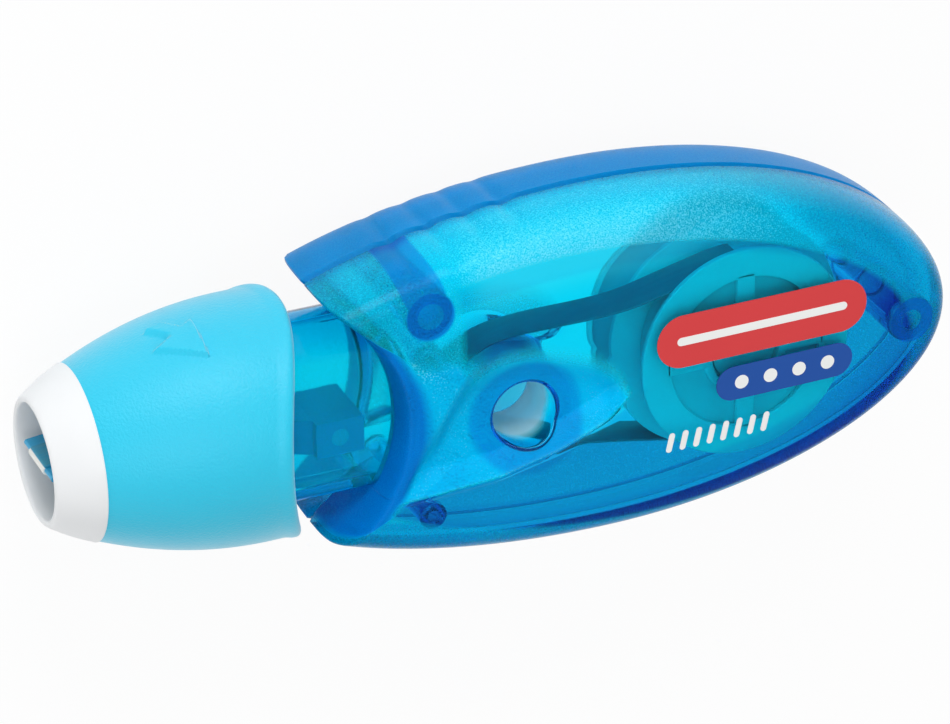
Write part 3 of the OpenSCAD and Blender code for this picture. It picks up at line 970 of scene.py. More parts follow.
    def leaf_reach(self, cos: Array, sin: Array, start: float, end: Array) -> Array:
        """Distance from the hole at which each ray leaves the dish, found between steps by its two edges.

        Args:
            cos: Cosines of the rays, as a column.
            sin: Sines of the rays, as a column.
            start: Distance at which the search starts.
            end: Furthest distance on each ray.

        Returns:
            Distances, as a column.
        """
        reach = start + (end - start) * np.linspace(0, 1, self.leaf_steps)[None, :]
        x, y = self.hole_x + reach * cos, self.hole_y + reach * sin
        inside = np.minimum(y - self.leaf_edge(self.leaf_low, x), self.leaf_edge(self.leaf_up, x) - y)
        last = np.where((inside < 0).any(axis=1), np.argmax(inside < 0, axis=1), reach.shape[1] - 1)
        rows = np.arange(len(reach))
        before, after = inside[rows, last - 1], inside[rows, last]
        share = np.where(after < 0, before / np.maximum(before - after, TINY), 1.0)
        found = reach[rows, last - 1] + share * (reach[rows, last] - reach[rows, last - 1])
        return found[:, None]

    def bowl(self) -> tuple[Array, Array, Array]:
        """Points, frost and tone of the bowl: closed loops of distance and height on rays from the hole.

        Each loop runs up the border, in over the face and the dish, down the hole, out along the seam of the
        guide tube, up the tube, out under the face and down the inside of the border.

        Returns:
            Points, rays by loop by x, y and z, and the frost and tone at each.
        """
        turn = full_turn(self.rays)[:, None] - math.pi
        cos, sin = np.cos(turn), np.sin(turn)
        low = np.linspace(0, self.chamfer / self.half_t, self.chamfer_steps)
        low = np.arcsin(low ** (self.edge_power / 2))
        step = np.concatenate([low[:-1], np.linspace(low[-1], math.pi / 2, self.border_steps)])[None, :]
        bend = 1 - np.cos(step) ** (2 / self.edge_power)
        rise = np.sin(step) ** (2 / self.edge_power)
        front = self.cut_reach(cos, sin, np.array([[self.cut_r]]))
        in_neck = (front < FAR) & (np.abs(self.hole_y + front * sin) < self.neck_r - self.neck_wall)
        floor = np.where(in_neck, self.neck_half_t - self.neck_wall, self.seam)
        groove_share = np.cos(step) ** 2
        groove = self.chamfer * smooth_step(self.chamfer, 0, self.half_t * rise)
        outer_r = self.edge(cos, sin, self.edge_w * bend + groove, self.cut_edge * bend, groove_share)
        outer_z = floor + (self.half_t - floor) * rise
        inner_r = self.edge(cos, sin, self.wall + self.edge_w * bend, self.wall + self.cut_edge * bend,
                            0 * groove_share)
        inner_z = floor + (self.half_t - self.wall - floor) * rise
        top_r = outer_r[:, -1:]
        lip = self.hole_r + self.hole_round
        leaf = self.leaf_reach(cos, sin, lip, top_r - self.deep_lip)
        to_leaf = top_r + (leaf - top_r) * np.linspace(0, 1, self.face_steps)[None, 1:] ** self.face_power
        to_lip = leaf + (lip - leaf) * np.linspace(0, 1, self.dish_steps)[None, 1:] ** self.dish_power
        face_r = np.concatenate([to_leaf, to_lip], axis=1)
        sunk = self.dish(self.hole_x + face_r * cos, self.hole_y + face_r * sin)[0]
        edge_fade = smooth_step(0, self.deep_lip, top_r - face_r)
        face_z = self.half_t + self.crown * (1 - (face_r / top_r) ** 2) - sunk * edge_fade
        quarter = np.linspace(0, math.pi / 2, self.mouth_steps)[None, 1:]
        mouth_r = lip - self.hole_round * np.sin(quarter) + 0 * turn
        mouth_z = face_z[:, -1:] - self.hole_round * (1 - np.cos(quarter))
        levels = np.array([self.wall_levels])
        wall_z = mouth_z[:, -1:] + (self.seam - mouth_z[:, -1:]) * levels[:, 1:]
        wall_r = np.full_like(wall_z, self.hole_r)
        under = np.linspace(0, 1, self.under_steps)[None, :-1]
        under_r = self.tube_r + (inner_r[:, -1:] - self.tube_r) * under
        under_dish = self.dish(self.hole_x + under_r * cos, self.hole_y + under_r * sin)[0]
        under_fade = smooth_step(self.wall, self.wall + self.deep_lip, top_r - under_r)
        under_z = self.half_t - self.wall - under_dish * under_fade
        tube_z = self.seam + (under_z[:, :1] - self.seam) * levels[:, :-1]
        tube_r = np.full_like(tube_z, self.tube_r)
        reach = np.concatenate(
            [outer_r, face_r, mouth_r, wall_r, tube_r, under_r, inner_r[:, ::-1]], axis=1)
        height = np.concatenate(
            [outer_z, face_z, mouth_z, wall_z, tube_z, under_z, inner_z[:, ::-1]], axis=1)
        points = np.stack(
            [self.hole_x + reach * cos, self.hole_y + reach * sin, height * self.side.value], axis=-1)
        ends = np.cumsum([part.shape[1] for part in (outer_r, face_r, mouth_r, wall_r, tube_r, under_r)])
        cut = front < self.outline_reach(cos, sin, np.zeros((1, 1)))
        return points, *self.shade(points, reach, top_r, ends.tolist(), cut)

    def shade(self, points: Array, reach: Array, top_r: Array, ends: list[int],
              cut: Array) -> tuple[Array, Array]:
        """Frost and tone of the bowl, part by part of its loops.

        Args:
            points: Points of the bowl.
            reach: Distance of each from the hole's middle.
            top_r: Distance of the face's edge on each ray.
            ends: Where the border, face, mouth, hole, tube and under side end along the loops.
            cut: Whether each ray meets the front cut.

        Returns:
            The frost and the tone at each point.
        """
        border, face, skin = slice(ends[0]), slice(ends[0], ends[1]), slice(ends[0], ends[2])
        reach_in = top_r - reach
        sandy = self.dish(points[:, face, 0], points[:, face, 1])[1]
        lipped = -smooth_step(self.deep_lip, 0, reach_in[:, skin])
        frost, tone = np.full(reach.shape, -1.0), np.zeros(reach.shape)
        frost[:, border] = 0
        frost[:, face] = sandy * smooth_step(0, self.deep_lip, reach_in[:, face])
        frost[:, ends[1] : ends[3]] = self.hole_frost
        tone[:, ends[3] : ends[4]] = self.tube_tone
        tone[:, ends[5] :] = np.where(cut, self.wall_tone, self.inner_tone)
        if self.side is Side.WINDOW:
            below = self.low_share * smooth_step(*self.low_border, points[:, border, 1])
            rim = self.border_tone * np.maximum(smooth_step(self.deep_rim, 0, points[:, border, 2]), below)
            tone[:, border] = np.where(cut, self.cut_tone, rim)
            ring = smooth_step(self.tube_r + self.ring_soft, self.tube_r, reach[:, skin])
            tone[:, skin] = np.where(cut, lipped, 0) + self.ring_tone * ring
            tone[:, face] += self.leaf_tone * sandy
            frost[:, border] += cut
            frost[:, skin] += np.where(cut, -lipped, 0)
            # Painted light on the hole wall, for the bright backdrop seen through the hole.
            tone[:, ends[2] : ends[3]] = self.hole_painted_light
            # Painted highlight on the shoulder, kept off the front cut.
            tone[:, : ends[2]] += np.where(cut, 0, self.sheen(points, reach_in)[:, : ends[2]])
        else:
            palm = smooth_step(0, self.palm_rise, points[:, border, 1])
            frost[:, border] = np.where(cut, 0, self.back_border_frost * palm)
            frost[:, face] *= self.back_frost
            tone[:, border] = np.where(cut, self.back_cut_tone, self.border_tone + self.palm_tone * palm)
            rim = self.border_tone * smooth_step(self.back_lip, 0, reach_in[:, skin])
            tone[:, skin] = np.where(cut, lipped, rim)
            # Painted light on the back shell's hole wall, for the bright backdrop seen through the hole.
            tone[:, ends[2] : ends[3]] = self.back_hole_painted_light
        return frost, tone

    def sheen(self, points: Array, reach_in: Array) -> Array:
        """Painted highlight up the sanded upper shoulder, fading over the face; deeper tones at both ends.

        Args:
            points: Points of the bowl.
            reach_in: How far each lies inside the face's edge, less than zero on the border.

        Returns:
            The tone to add at each point.
        """
        up = smooth_step(self.shoulder_low, self.shoulder_top, points[..., 2])
        fade = smooth_step(self.shoulder_in, 0, reach_in)
        along = points[..., 0] - self.hole_x
        start, full, last, end = self.shoulder_run
        run = smooth_step(start, full, along) * smooth_step(end, last, along)
        front = self.front_tone * smooth_step(*self.front_run, along)
        tail = self.tail_tone * smooth_step(*self.tail_run, along) * fade
        # The painted highlight stays on the upper edge, the side that faces the light.
        return self.shoulder_highlight * up * fade * run * (points[..., 1] > 0) + front + tail

    def face_level(self, x: Array, y: Array) -> Array:
        """Height of the face outside the dish: the crown falls with the squared share of a ray's reach.

        Args:
            x: Places along X.
            y: Places along Y.

        Returns:
            The level at each point.
        """
        reach = np.hypot(x - self.hole_x, y - self.hole_y)
        cos, sin = (x - self.hole_x) / reach, (y - self.hole_y) / reach
        share = reach / self.outline_reach(cos, sin, np.array(self.edge_w))
        return self.half_t + self.crown * (1 - share**2)

    def neck(self, radius: float, half_t: float, wall: float, ends: tuple[float, float],
             into_cut: bool) -> Array:
        """Half of the neck: a flat-topped arch carried along X, out over its outside and back inside.

        The arch is the circle of that radius under the smooth minimum with the flat. Its rear end may follow
        the round front cut, at the cut's centre plus the root of its radius squared less y squared.

        Args:
            radius: Outer radius of the arch.
            half_t: Height of the flat.
            wall: Thickness.
            ends: Front and rear, along X.
            into_cut: Whether the rear end follows the front cut.

        Returns:
            Points, arch by loop by x, y and z.
        """
        arch = np.linspace(0, math.pi, self.neck_turns)[:, None]
        way = np.linspace(0, 1, self.neck_steps)
        loops = []
        for inset, shares in ((0.0, way), (wall, way[::-1])):
            y = (radius - inset) * np.cos(arch)
            flat = np.full_like(arch, half_t - inset)
            z = soft_min((radius - inset) * np.sin(arch), flat, self.neck_round)
            z = np.maximum(z, self.seam)
            rear = np.full_like(y, ends[1])
            if into_cut:
                rear = self.cut_x + np.sqrt(self.cut_r**2 - y**2) + self.neck_overlap
            x = ends[0] + (rear - ends[0]) * shares[None, :]
            loops.append(np.stack([x, y + 0 * x, z * self.side.value + 0 * x], axis=-1))
        return np.concatenate(loops, axis=1)

    def neck_shade(self, points: Array, radius: float) -> Array:
        """Tone of the neck at each point: deeper towards both sides, where the wall is seen edge on."""
        side = smooth_step(self.neck_side, 1, np.abs(points[..., 1]) / radius)
        return self.neck_tone + (self.neck_side_tone - self.neck_tone) * side

    def post(self, x: float, y: float, radius: float, bore: float, foot: float) -> Array:
        """A hollow post from a level into the face: a rounded ring profile carried round Z.

        Args:
            x: Place along X.
            y: Place along Y.
            radius: Outer radius.
            bore: Inner radius.
            foot: Level of the free end.

        Returns:
            Points, turns by profile by x, y and z.
        """
        top = self.half_t - self.wall / 2
        ring = top - self.post_end / 2
        loop = rounded([(radius, foot, self.post_round), (radius, ring, 0), (radius, top, 0), (bore, top, 0),
                        (bore, ring, 0), (bore, foot, self.post_round)])
        points = revolve(loop, full_turn(self.post_turns), np.array([x, y, 0.0]), "z")
        points[..., 2] = np.minimum(points[..., 2], self.roof(points[..., 0], points[..., 1]))
        return points * np.array([1, 1, self.side.value])

    def roof(self, x: Array, y: Array) -> Array:
        """Level of the middle of the wall over each point, by the border's section at the point's depth.

        The depth is the shrinkage that brings the outline to the point, halved in on from both sides.

        Args:
            x: Places along X.
            y: Places along Y.

        Returns:
            The level at each point.
        """
        along = x - self.mid_x
        semi = np.where(along >= 0, self.tail_x - self.mid_x, self.front)
        near, far = np.zeros_like(x), np.full_like(x, self.edge_w + self.wall)
        for _ in range(ROOT_STEPS):
            middle = (near + far) / 2
            inside = (along / (semi - middle)) ** 2 + (y / (self.half_h - middle)) ** 2 < 1
            near, far = np.where(inside, middle, near), np.where(inside, far, middle)
        share = np.clip((near - self.wall / 2) / self.edge_w, 0, 1)
        top = self.half_t - self.wall / 2
        return top * (1 - (1 - share) ** self.edge_power) ** (1 / self.edge_power) - self.dish(x, y)[0]

    def posts(self, film_post: tuple[float, float], axle: tuple[float, float, float]) -> list[Array]:
        """Points of the two bosses, the pin, the two film posts and, on the back, the reels' hollow axle.

        Args:
            film_post: Place of the upper film post along X, and its height above the hole's middle.
            axle: Place of the axle and the level of its end.

        Returns:
            Points of each.
        """
        lead = self.hole_x - self.boss_lead
        bosses = ((lead, self.half_h - self.boss_up), (self.tail_x - self.boss_tail, self.boss_tail_y))
        made = [self.post(x, y, self.boss_r, self.pin_r, self.seam) for x, y in bosses]
        made.append(self.post(lead, self.pin_down - self.half_h, self.low_pin_r, self.core_r, self.seam))
        for side in (1, -1):
            place = self.hole_y + side * film_post[1]
            made.append(self.post(film_post[0], place, self.post_r, self.core_r, self.seam))
        if self.side is Side.BACK:
            made.append(self.post(axle[0], axle[1], self.axle_r, self.axle_r - self.axle_wall, -axle[2]))
        return made

    def build(self, finish: Material, film_post: tuple[float, float],
              axle: tuple[float, float, float]) -> Piece:
        """Gathers the bowl, neck, journal, posts and axle into the shell's piece.

        Args:
            finish: The shell's plastic.
            film_post: Place of the upper film post along X, and its height above the hole's middle.
            axle: Place of the reels' axle and the level of its end.

        Returns:
            The piece.
        """
        surface = Surface()
        points, frost, tone = self.bowl()
        surface.add_grid(points, wrap_rows=True, wrap_columns=True, frost=frost, tone=tone)
        neck = self.neck(self.neck_r, self.neck_half_t, self.neck_wall, (self.neck_front, 0), True)
        outside = np.arange(neck.shape[1])[None, :] < neck.shape[1] // 2
        sanded = np.where(outside, self.neck_frost, -1.0)
        shade = self.neck_shade(neck, self.neck_r) * outside
        surface.add_grid(neck, wrap_columns=True, frost=sanded, tone=shade)
        run = (self.journal_front, self.neck_front)
        journal = self.neck(self.journal_r, self.journal_r, self.journal_wall, run, False)
        surface.add_grid(journal, wrap_columns=True, frost=self.neck_frost, tone=self.neck_tone)
        for post in self.posts(film_post, axle):
            end = smooth_step(self.post_end, 0, post[..., 2].max(axis=1, keepdims=True) - post[..., 2])
            if self.side is Side.BACK:
                end = np.zeros_like(end)
            frost = (1 + self.post_frost) * end - 1
            tone = self.shaft_tone + (self.post_tone - self.shaft_tone) * end
            surface.add_grid(post, wrap_rows=True, wrap_columns=True, frost=frost, tone=tone)
        node = "front_shell" if self.side is Side.WINDOW else "back_shell"
        item = surface.build(node + "_moulding", self.datum)
        return Piece(item, "housing", "translucent_blue", finish, (node,))


@dataclass
class TwistCap:
    """Turning cap: a white nose and a light blue sleeve that flares to a wavy rear edge with an arrow."""

    datum: Datum
    cap_r: float
    # Sleeve, nose and the tube between them.
    cap_len: float = 24.0
    cap_wave: float = 1.8
    cap_wall: float = 1.6
    skirt_len: float = 2.5
    nose_len: float = 4.5
    nose_r: float = 8.9
    mouth_r: float = 5.8
    lip_w: float = 0.6
    nose_tube_r: float = 8.3
    nose_tube_end: float = 19.5
    nose_bore: float = 7.26
    seat_gap: float = 0.02
    edge_round: float = 0.6
    bead: float = 0.18
    bead_run: tuple[float, float] = (1.9, 0.9)
    # Points along the grids, and the small steps of their profiles.
    sleeve_turns: int = 360
    sleeve_steps: int = 96
    flare_steps: int = 30
    lip_steps: int = 9
    seat_back: float = 1.4
    seat_step: float = 0.6
    seat_front: float = 0.1
    nose_turns: int = 192
    nose_steps: int = 7
    mouth_depth: float = 1.0
    lip_step: float = 0.05
    cone_swell: float = 0.2
    bore_step: float = 0.4
    nose_rounds: tuple[float, ...] = (0.3, 0.45, 0.5, 1.2, 0.12, 0.0, 0.2, 0.2, 0.2)
    # Twist arrow, on the sleeve rolled flat.
    arrow_rise: float = 0.5
    arrow_soft: float = 0.16
    stem_half_w: float = 0.8
    arrow_stem: tuple[tuple[float, float], ...] = ((8.4, -7.4), (9.5, -5.2), (11.3, -2.2), (14.4, 2.0))
    arrow_head: tuple[tuple[float, float], ...] = ((16.3, 0.8), (16.3, 6.3), (11.7, 3.5))

    @classmethod
    def from_frame(cls, datum: Datum) -> "TwistCap":
        """Takes the cap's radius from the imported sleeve."""
        return cls(datum, cap_r=float(datum.measure(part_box("cap_grip")[1])[2]))

    def arrow(self, x: Array, turn: Array) -> Array:
        """Height of the raised twist arrow: a bent stem and a three-sided head, both with soft sides.

        The stem is all that lies near enough to its line, and the head what lies inside all three of its
        sides, both on the sleeve rolled flat.

        Args:
            x: Place along the cap's axis.
            turn: Angle round the cap in degrees, from +Y to +Z.

        Returns:
            The height at each point.
        """
        flat = np.stack(np.broadcast_arrays(x, np.radians(turn) * self.cap_r), axis=-1)
        away = np.full(flat.shape[:-1], FAR)
        for a, b in zip(np.array(self.arrow_stem)[:-1], np.array(self.arrow_stem)[1:]):
            share = np.clip((flat - a) @ (b - a) / ((b - a) @ (b - a)), 0, 1)
            away = np.minimum(away, np.linalg.norm(flat - a - share[..., None] * (b - a), axis=-1))
        inside = np.full(flat.shape[:-1], FAR)
        corners = np.array(self.arrow_head)
        for a, b in zip(corners, np.roll(corners, -1, axis=0)):
            inward = np.array([a[1] - b[1], b[0] - a[0]]) / np.linalg.norm(b - a)
            inside = np.minimum(inside, (flat - a) @ inward)
        soft = self.arrow_soft
        stem = smooth_step(self.stem_half_w + soft, self.stem_half_w - soft, away)
        return self.arrow_rise * np.maximum(stem, smooth_step(-soft, soft, inside))

    def sleeve(self) -> Array:
        """Points of the sleeve: a closed profile carried round X, stretched to the wavy rear edge.

        The flare's radius grows by one less the square of what is left of its length. The rear edge is the
        cap's end scooped by a round bar along Z, so its place follows the bar's circle at the edge's y.

        Returns:
            Points, turns by profile by x, y and z.
        """
        turn = full_turn(self.sleeve_turns)
        steps = np.linspace(0, 1, self.flare_steps)
        flare_x = self.nose_len + (self.cap_len - self.skirt_len - self.nose_len) * steps
        flare_r = self.nose_r + (self.cap_r - self.nose_r) * (1 - (1 - steps) ** 2)
        inner_r = self.cap_r - self.cap_wall
        rise = 2 * self.cap_wave
        scoop_r = (self.cap_r**2 + rise**2) / (2 * rise)
        sag = scoop_r - np.sqrt(scoop_r**2 - (self.cap_r * np.cos(turn)) ** 2)
        rear = (self.cap_len - self.cap_wave + sag)[:, None]
        fine = np.linspace(0, 1, self.sleeve_steps)
        start = 0.0 * rear + flare_x[0]
        outer_x = start + (rear - self.edge_round - start) * fine
        outer_r = np.interp(
            outer_x, np.append(flare_x, self.cap_len + rise), np.append(flare_r, self.cap_r))
        bead = self.bead * smooth_step(*self.bead_run, rear - outer_x)
        outer_r = outer_r - self.bead + bead + self.arrow(outer_x, np.degrees(turn)[:, None])
        lip = np.linspace(0, math.pi, self.lip_steps)[None, 1:-1]
        half = self.cap_wall / 2
        lip_x = rear - self.edge_round + self.edge_round * np.sin(lip)
        lip_r = self.cap_r - half + half * np.cos(lip) + 0 * rear
        seat_r = self.nose_tube_r + self.seat_gap
        back_x = np.array([[self.nose_tube_end + self.seat_back, self.nose_tube_end - self.seat_step,
                            self.nose_len + self.seat_front]])
        back_r = np.array([[inner_r, seat_r, seat_r]])
        x = np.concatenate([outer_x, lip_x, rear - self.edge_round, back_x + 0 * rear], axis=1)
        r = np.concatenate([outer_r, lip_r, inner_r + 0 * rear, back_r + 0 * rear], axis=1)
        return np.stack([x, r * np.cos(turn)[:, None], r * np.sin(turn)[:, None]], axis=-1)

    def nose(self) -> Array:
        """Points of the nose: a rounded profile of lip, cone, tube and bore carried round X.

        Returns:
            Points, turns by profile by x, y and z.
        """
        lip_r = self.mouth_r + self.lip_w
        corners = (
            (self.mouth_r, self.nose_len - self.mouth_depth), (self.mouth_r, self.lip_step), (lip_r, 0.0),
            ((lip_r + self.nose_r) / 2 + self.cone_swell, self.nose_len / 2), (self.nose_r, self.nose_len),
            (self.nose_tube_r, self.nose_len), (self.nose_tube_r, self.nose_tube_end),
            (self.nose_bore, self.nose_tube_end), (self.nose_bore, self.nose_len + self.bore_step))
        loop = rounded([(*corner, r) for corner, r in zip(corners, self.nose_rounds)], self.nose_steps)
        return revolve(loop, full_turn(self.nose_turns), np.zeros(3), "x")

    def build(self, sleeve: Material, nose: Material) -> list[Piece]:
        """Makes the sleeve and the nose.

        Args:
            sleeve: Finish of the sleeve.
            nose: Finish of the nose.

        Returns:
            The two pieces.
        """
        pieces = []
        for name, points, finish, slot in (("cap_grip", self.sleeve(), sleeve, "grip_plastic"),
                                           ("cap_nose", self.nose(), nose, "white_plastic")):
            item = Surface.of_rings(points).build(name + "_moulding", self.datum)
            pieces.append(Piece(item, "cap", slot, finish, (name,)))
        return pieces


@dataclass
class Reels:
    """Stacked reels on one axle: a supply reel with its roll, and a take-up reel behind it."""

    datum: Datum
    x: float
    y: float
    front_z: float
    roll_top: float
    roll_low: float
    roll_r: float
    flange_r: float
    take_up_low: float
    take_up_top: float
    take_up_r: float
    # Hub, flange, front ring and spokes.
    core_r: float = 4.58
    axle_bore: float = 2.46
    flange_t: float = 0.6
    ring_r: float = 11.4
    ring_bore: float = 8.2
    spoke_half_w: float = 1.0
    spoke_count: int = 4
    spoke_root: float = 0.3
    spoke_steps: int = 6
    turn_steps: int = 160
    # Rounded edges, seats and gaps.
    soft: float = 0.18
    edge_soft: float = 0.1
    hub_soft: float = 0.3
    seat_r: float = 3.7
    seat_depth: float = 1.2
    roll_gap: float = 0.05
    wound_gap: float = 0.02
    roll_soft: float = 0.06
    used_soft: float = 0.04
    used_film: float = 0.2
    drum_wall: float = 1.2
    drum_hub_r: float = 3.6
    drum_step: float = 0.5
    cap_sink: float = 1.1

    @classmethod
    def from_frame(cls, datum: Datum, joints: list[dict[str, Any]]) -> "Reels":
        """Takes the axle from the supply reel's joint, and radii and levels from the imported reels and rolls.

        Args:
            datum: Where the millimetres count from.
            joints: The record's joints.

        Returns:
            The reels' sizes.
        """
        axle = datum.measure(next(j for j in joints if j["name"] == "supply_turn")["pos_m"])
        boxes = {}
        for node in ("supply_reel", "supply_roll", "take_up_reel", "take_up_roll"):
            boxes[node] = [datum.measure(corner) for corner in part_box(node)]
        radius = {node: (high[0] - low[0]) / 2 for node, (low, high) in boxes.items()}
        return cls(datum, axle[0], axle[1], front_z=boxes["supply_reel"][1][2],
                   roll_top=boxes["supply_roll"][1][2], roll_low=boxes["supply_roll"][0][2],
                   roll_r=radius["supply_roll"], flange_r=radius["supply_reel"],
                   take_up_low=boxes["take_up_reel"][0][2],
                   take_up_top=boxes["take_up_reel"][1][2], take_up_r=radius["take_up_roll"])

    @property
    def axle_top(self) -> float:
        """Level of the axle's end, under the snap cap."""
        return self.front_z - self.cap_sink

    def turned(self, corners: list[tuple[float, float, float]]) -> Array:
        """A rounded closed profile of radius and height, carried round the axle."""
        centre = np.array([self.x, self.y, 0.0])
        return revolve(rounded(corners), full_turn(self.turn_steps), centre, "z")

    def spokes(self) -> list[Array]:
        """Spokes from the hub to the front ring: a rounded section carried along each radius.

        Returns:
            Points of each spoke.
        """
        half, back = self.spoke_half_w, self.front_z - self.flange_t
        corners = ((-half, back), (half, back), (half, self.front_z), (-half, self.front_z))
        section = rounded([(*corner, self.soft) for corner in corners])
        run = np.linspace(self.core_r - self.spoke_root, self.ring_bore + self.spoke_root, self.spoke_steps)
        found = []
        for k in range(self.spoke_count):
            turn = 2 * math.pi * k / self.spoke_count
            way = np.array([math.cos(turn), math.sin(turn)])
            path = np.array([self.x, self.y]) + run[:, None] * way
            normals = np.repeat(np.array([[-way[1], way[0]]]), len(run), axis=0)
            found.append(sweep(path, normals, np.zeros(len(run)), section))
        return found

    def build(self, plastic: Material, drum_plastic: Material, film: Material) -> list[Piece]:
        """Makes both reels and both rolls.

        Args:
            plastic: Finish of the supply reel.
            drum_plastic: Finish of the take-up reel.
            film: Finish of the rolls.

        Returns:
            The four pieces.
        """
        soft, low, front = self.soft, self.roll_low - self.roll_gap, self.front_z
        seat, ring_low = front - self.seat_depth, front - self.flange_t
        hub = [(self.axle_bore, low - self.flange_t, soft), (self.flange_r, low - self.flange_t, soft),
               (self.flange_r, low, soft), (self.core_r, low, self.edge_soft),
               (self.core_r, front, self.hub_soft), (self.seat_r, front, self.edge_soft),
               (self.seat_r, seat, self.edge_soft), (self.axle_bore, seat, self.edge_soft)]
        ring = [(self.ring_bore, ring_low, soft), (self.ring_r, ring_low, soft),
                (self.ring_r, front, soft), (self.ring_bore, front, soft)]
        supply = Surface.of_rings(self.turned(hub), self.turned(ring))
        for spoke in self.spokes():
            supply.add_grid(spoke, wrap_columns=True)
        inner = self.core_r + self.wound_gap
        wound = [(inner, self.roll_low, 0), (self.roll_r, self.roll_low, self.roll_soft),
                 (self.roll_r, self.roll_top, self.roll_soft), (inner, self.roll_top, 0)]
        top, flange_top = self.take_up_top, self.take_up_low + self.flange_t
        core_r = self.take_up_r - self.used_film
        wall_r, hub_top = core_r - self.drum_wall, top - self.drum_step
        drum = [(self.axle_bore, self.take_up_low, soft), (self.flange_r, self.take_up_low, soft),
                (self.flange_r, flange_top, soft), (core_r, flange_top, self.edge_soft), (core_r, top, soft),
                (wall_r, top, soft), (wall_r, flange_top, self.hub_soft),
                (self.drum_hub_r, flange_top, self.hub_soft), (self.drum_hub_r, hub_top, soft),
                (self.axle_bore, hub_top, soft)]
        inner, start, end = core_r + self.wound_gap, flange_top + self.roll_gap, top - self.roll_gap
        used = [(inner, start, 0), (self.take_up_r, start, self.used_soft),
                (self.take_up_r, end, self.used_soft), (inner, end, 0)]
        roll, take_up, turns = (Surface.of_rings(self.turned(loop)) for loop in (wound, drum, used))
        made = (("supply_reel", supply, "supply", "reel_plastic", plastic),
                ("supply_roll", roll, "supply", "tape_film", film),
                ("take_up_reel", take_up, "take_up", "reel_plastic", drum_plastic),
                ("take_up_roll", turns, "take_up", "tape_film", film))
        return [Piece(surface.build(node + "_finished", self.datum), body, slot, finish, (node,))
                for node, surface, body, slot, finish in made]


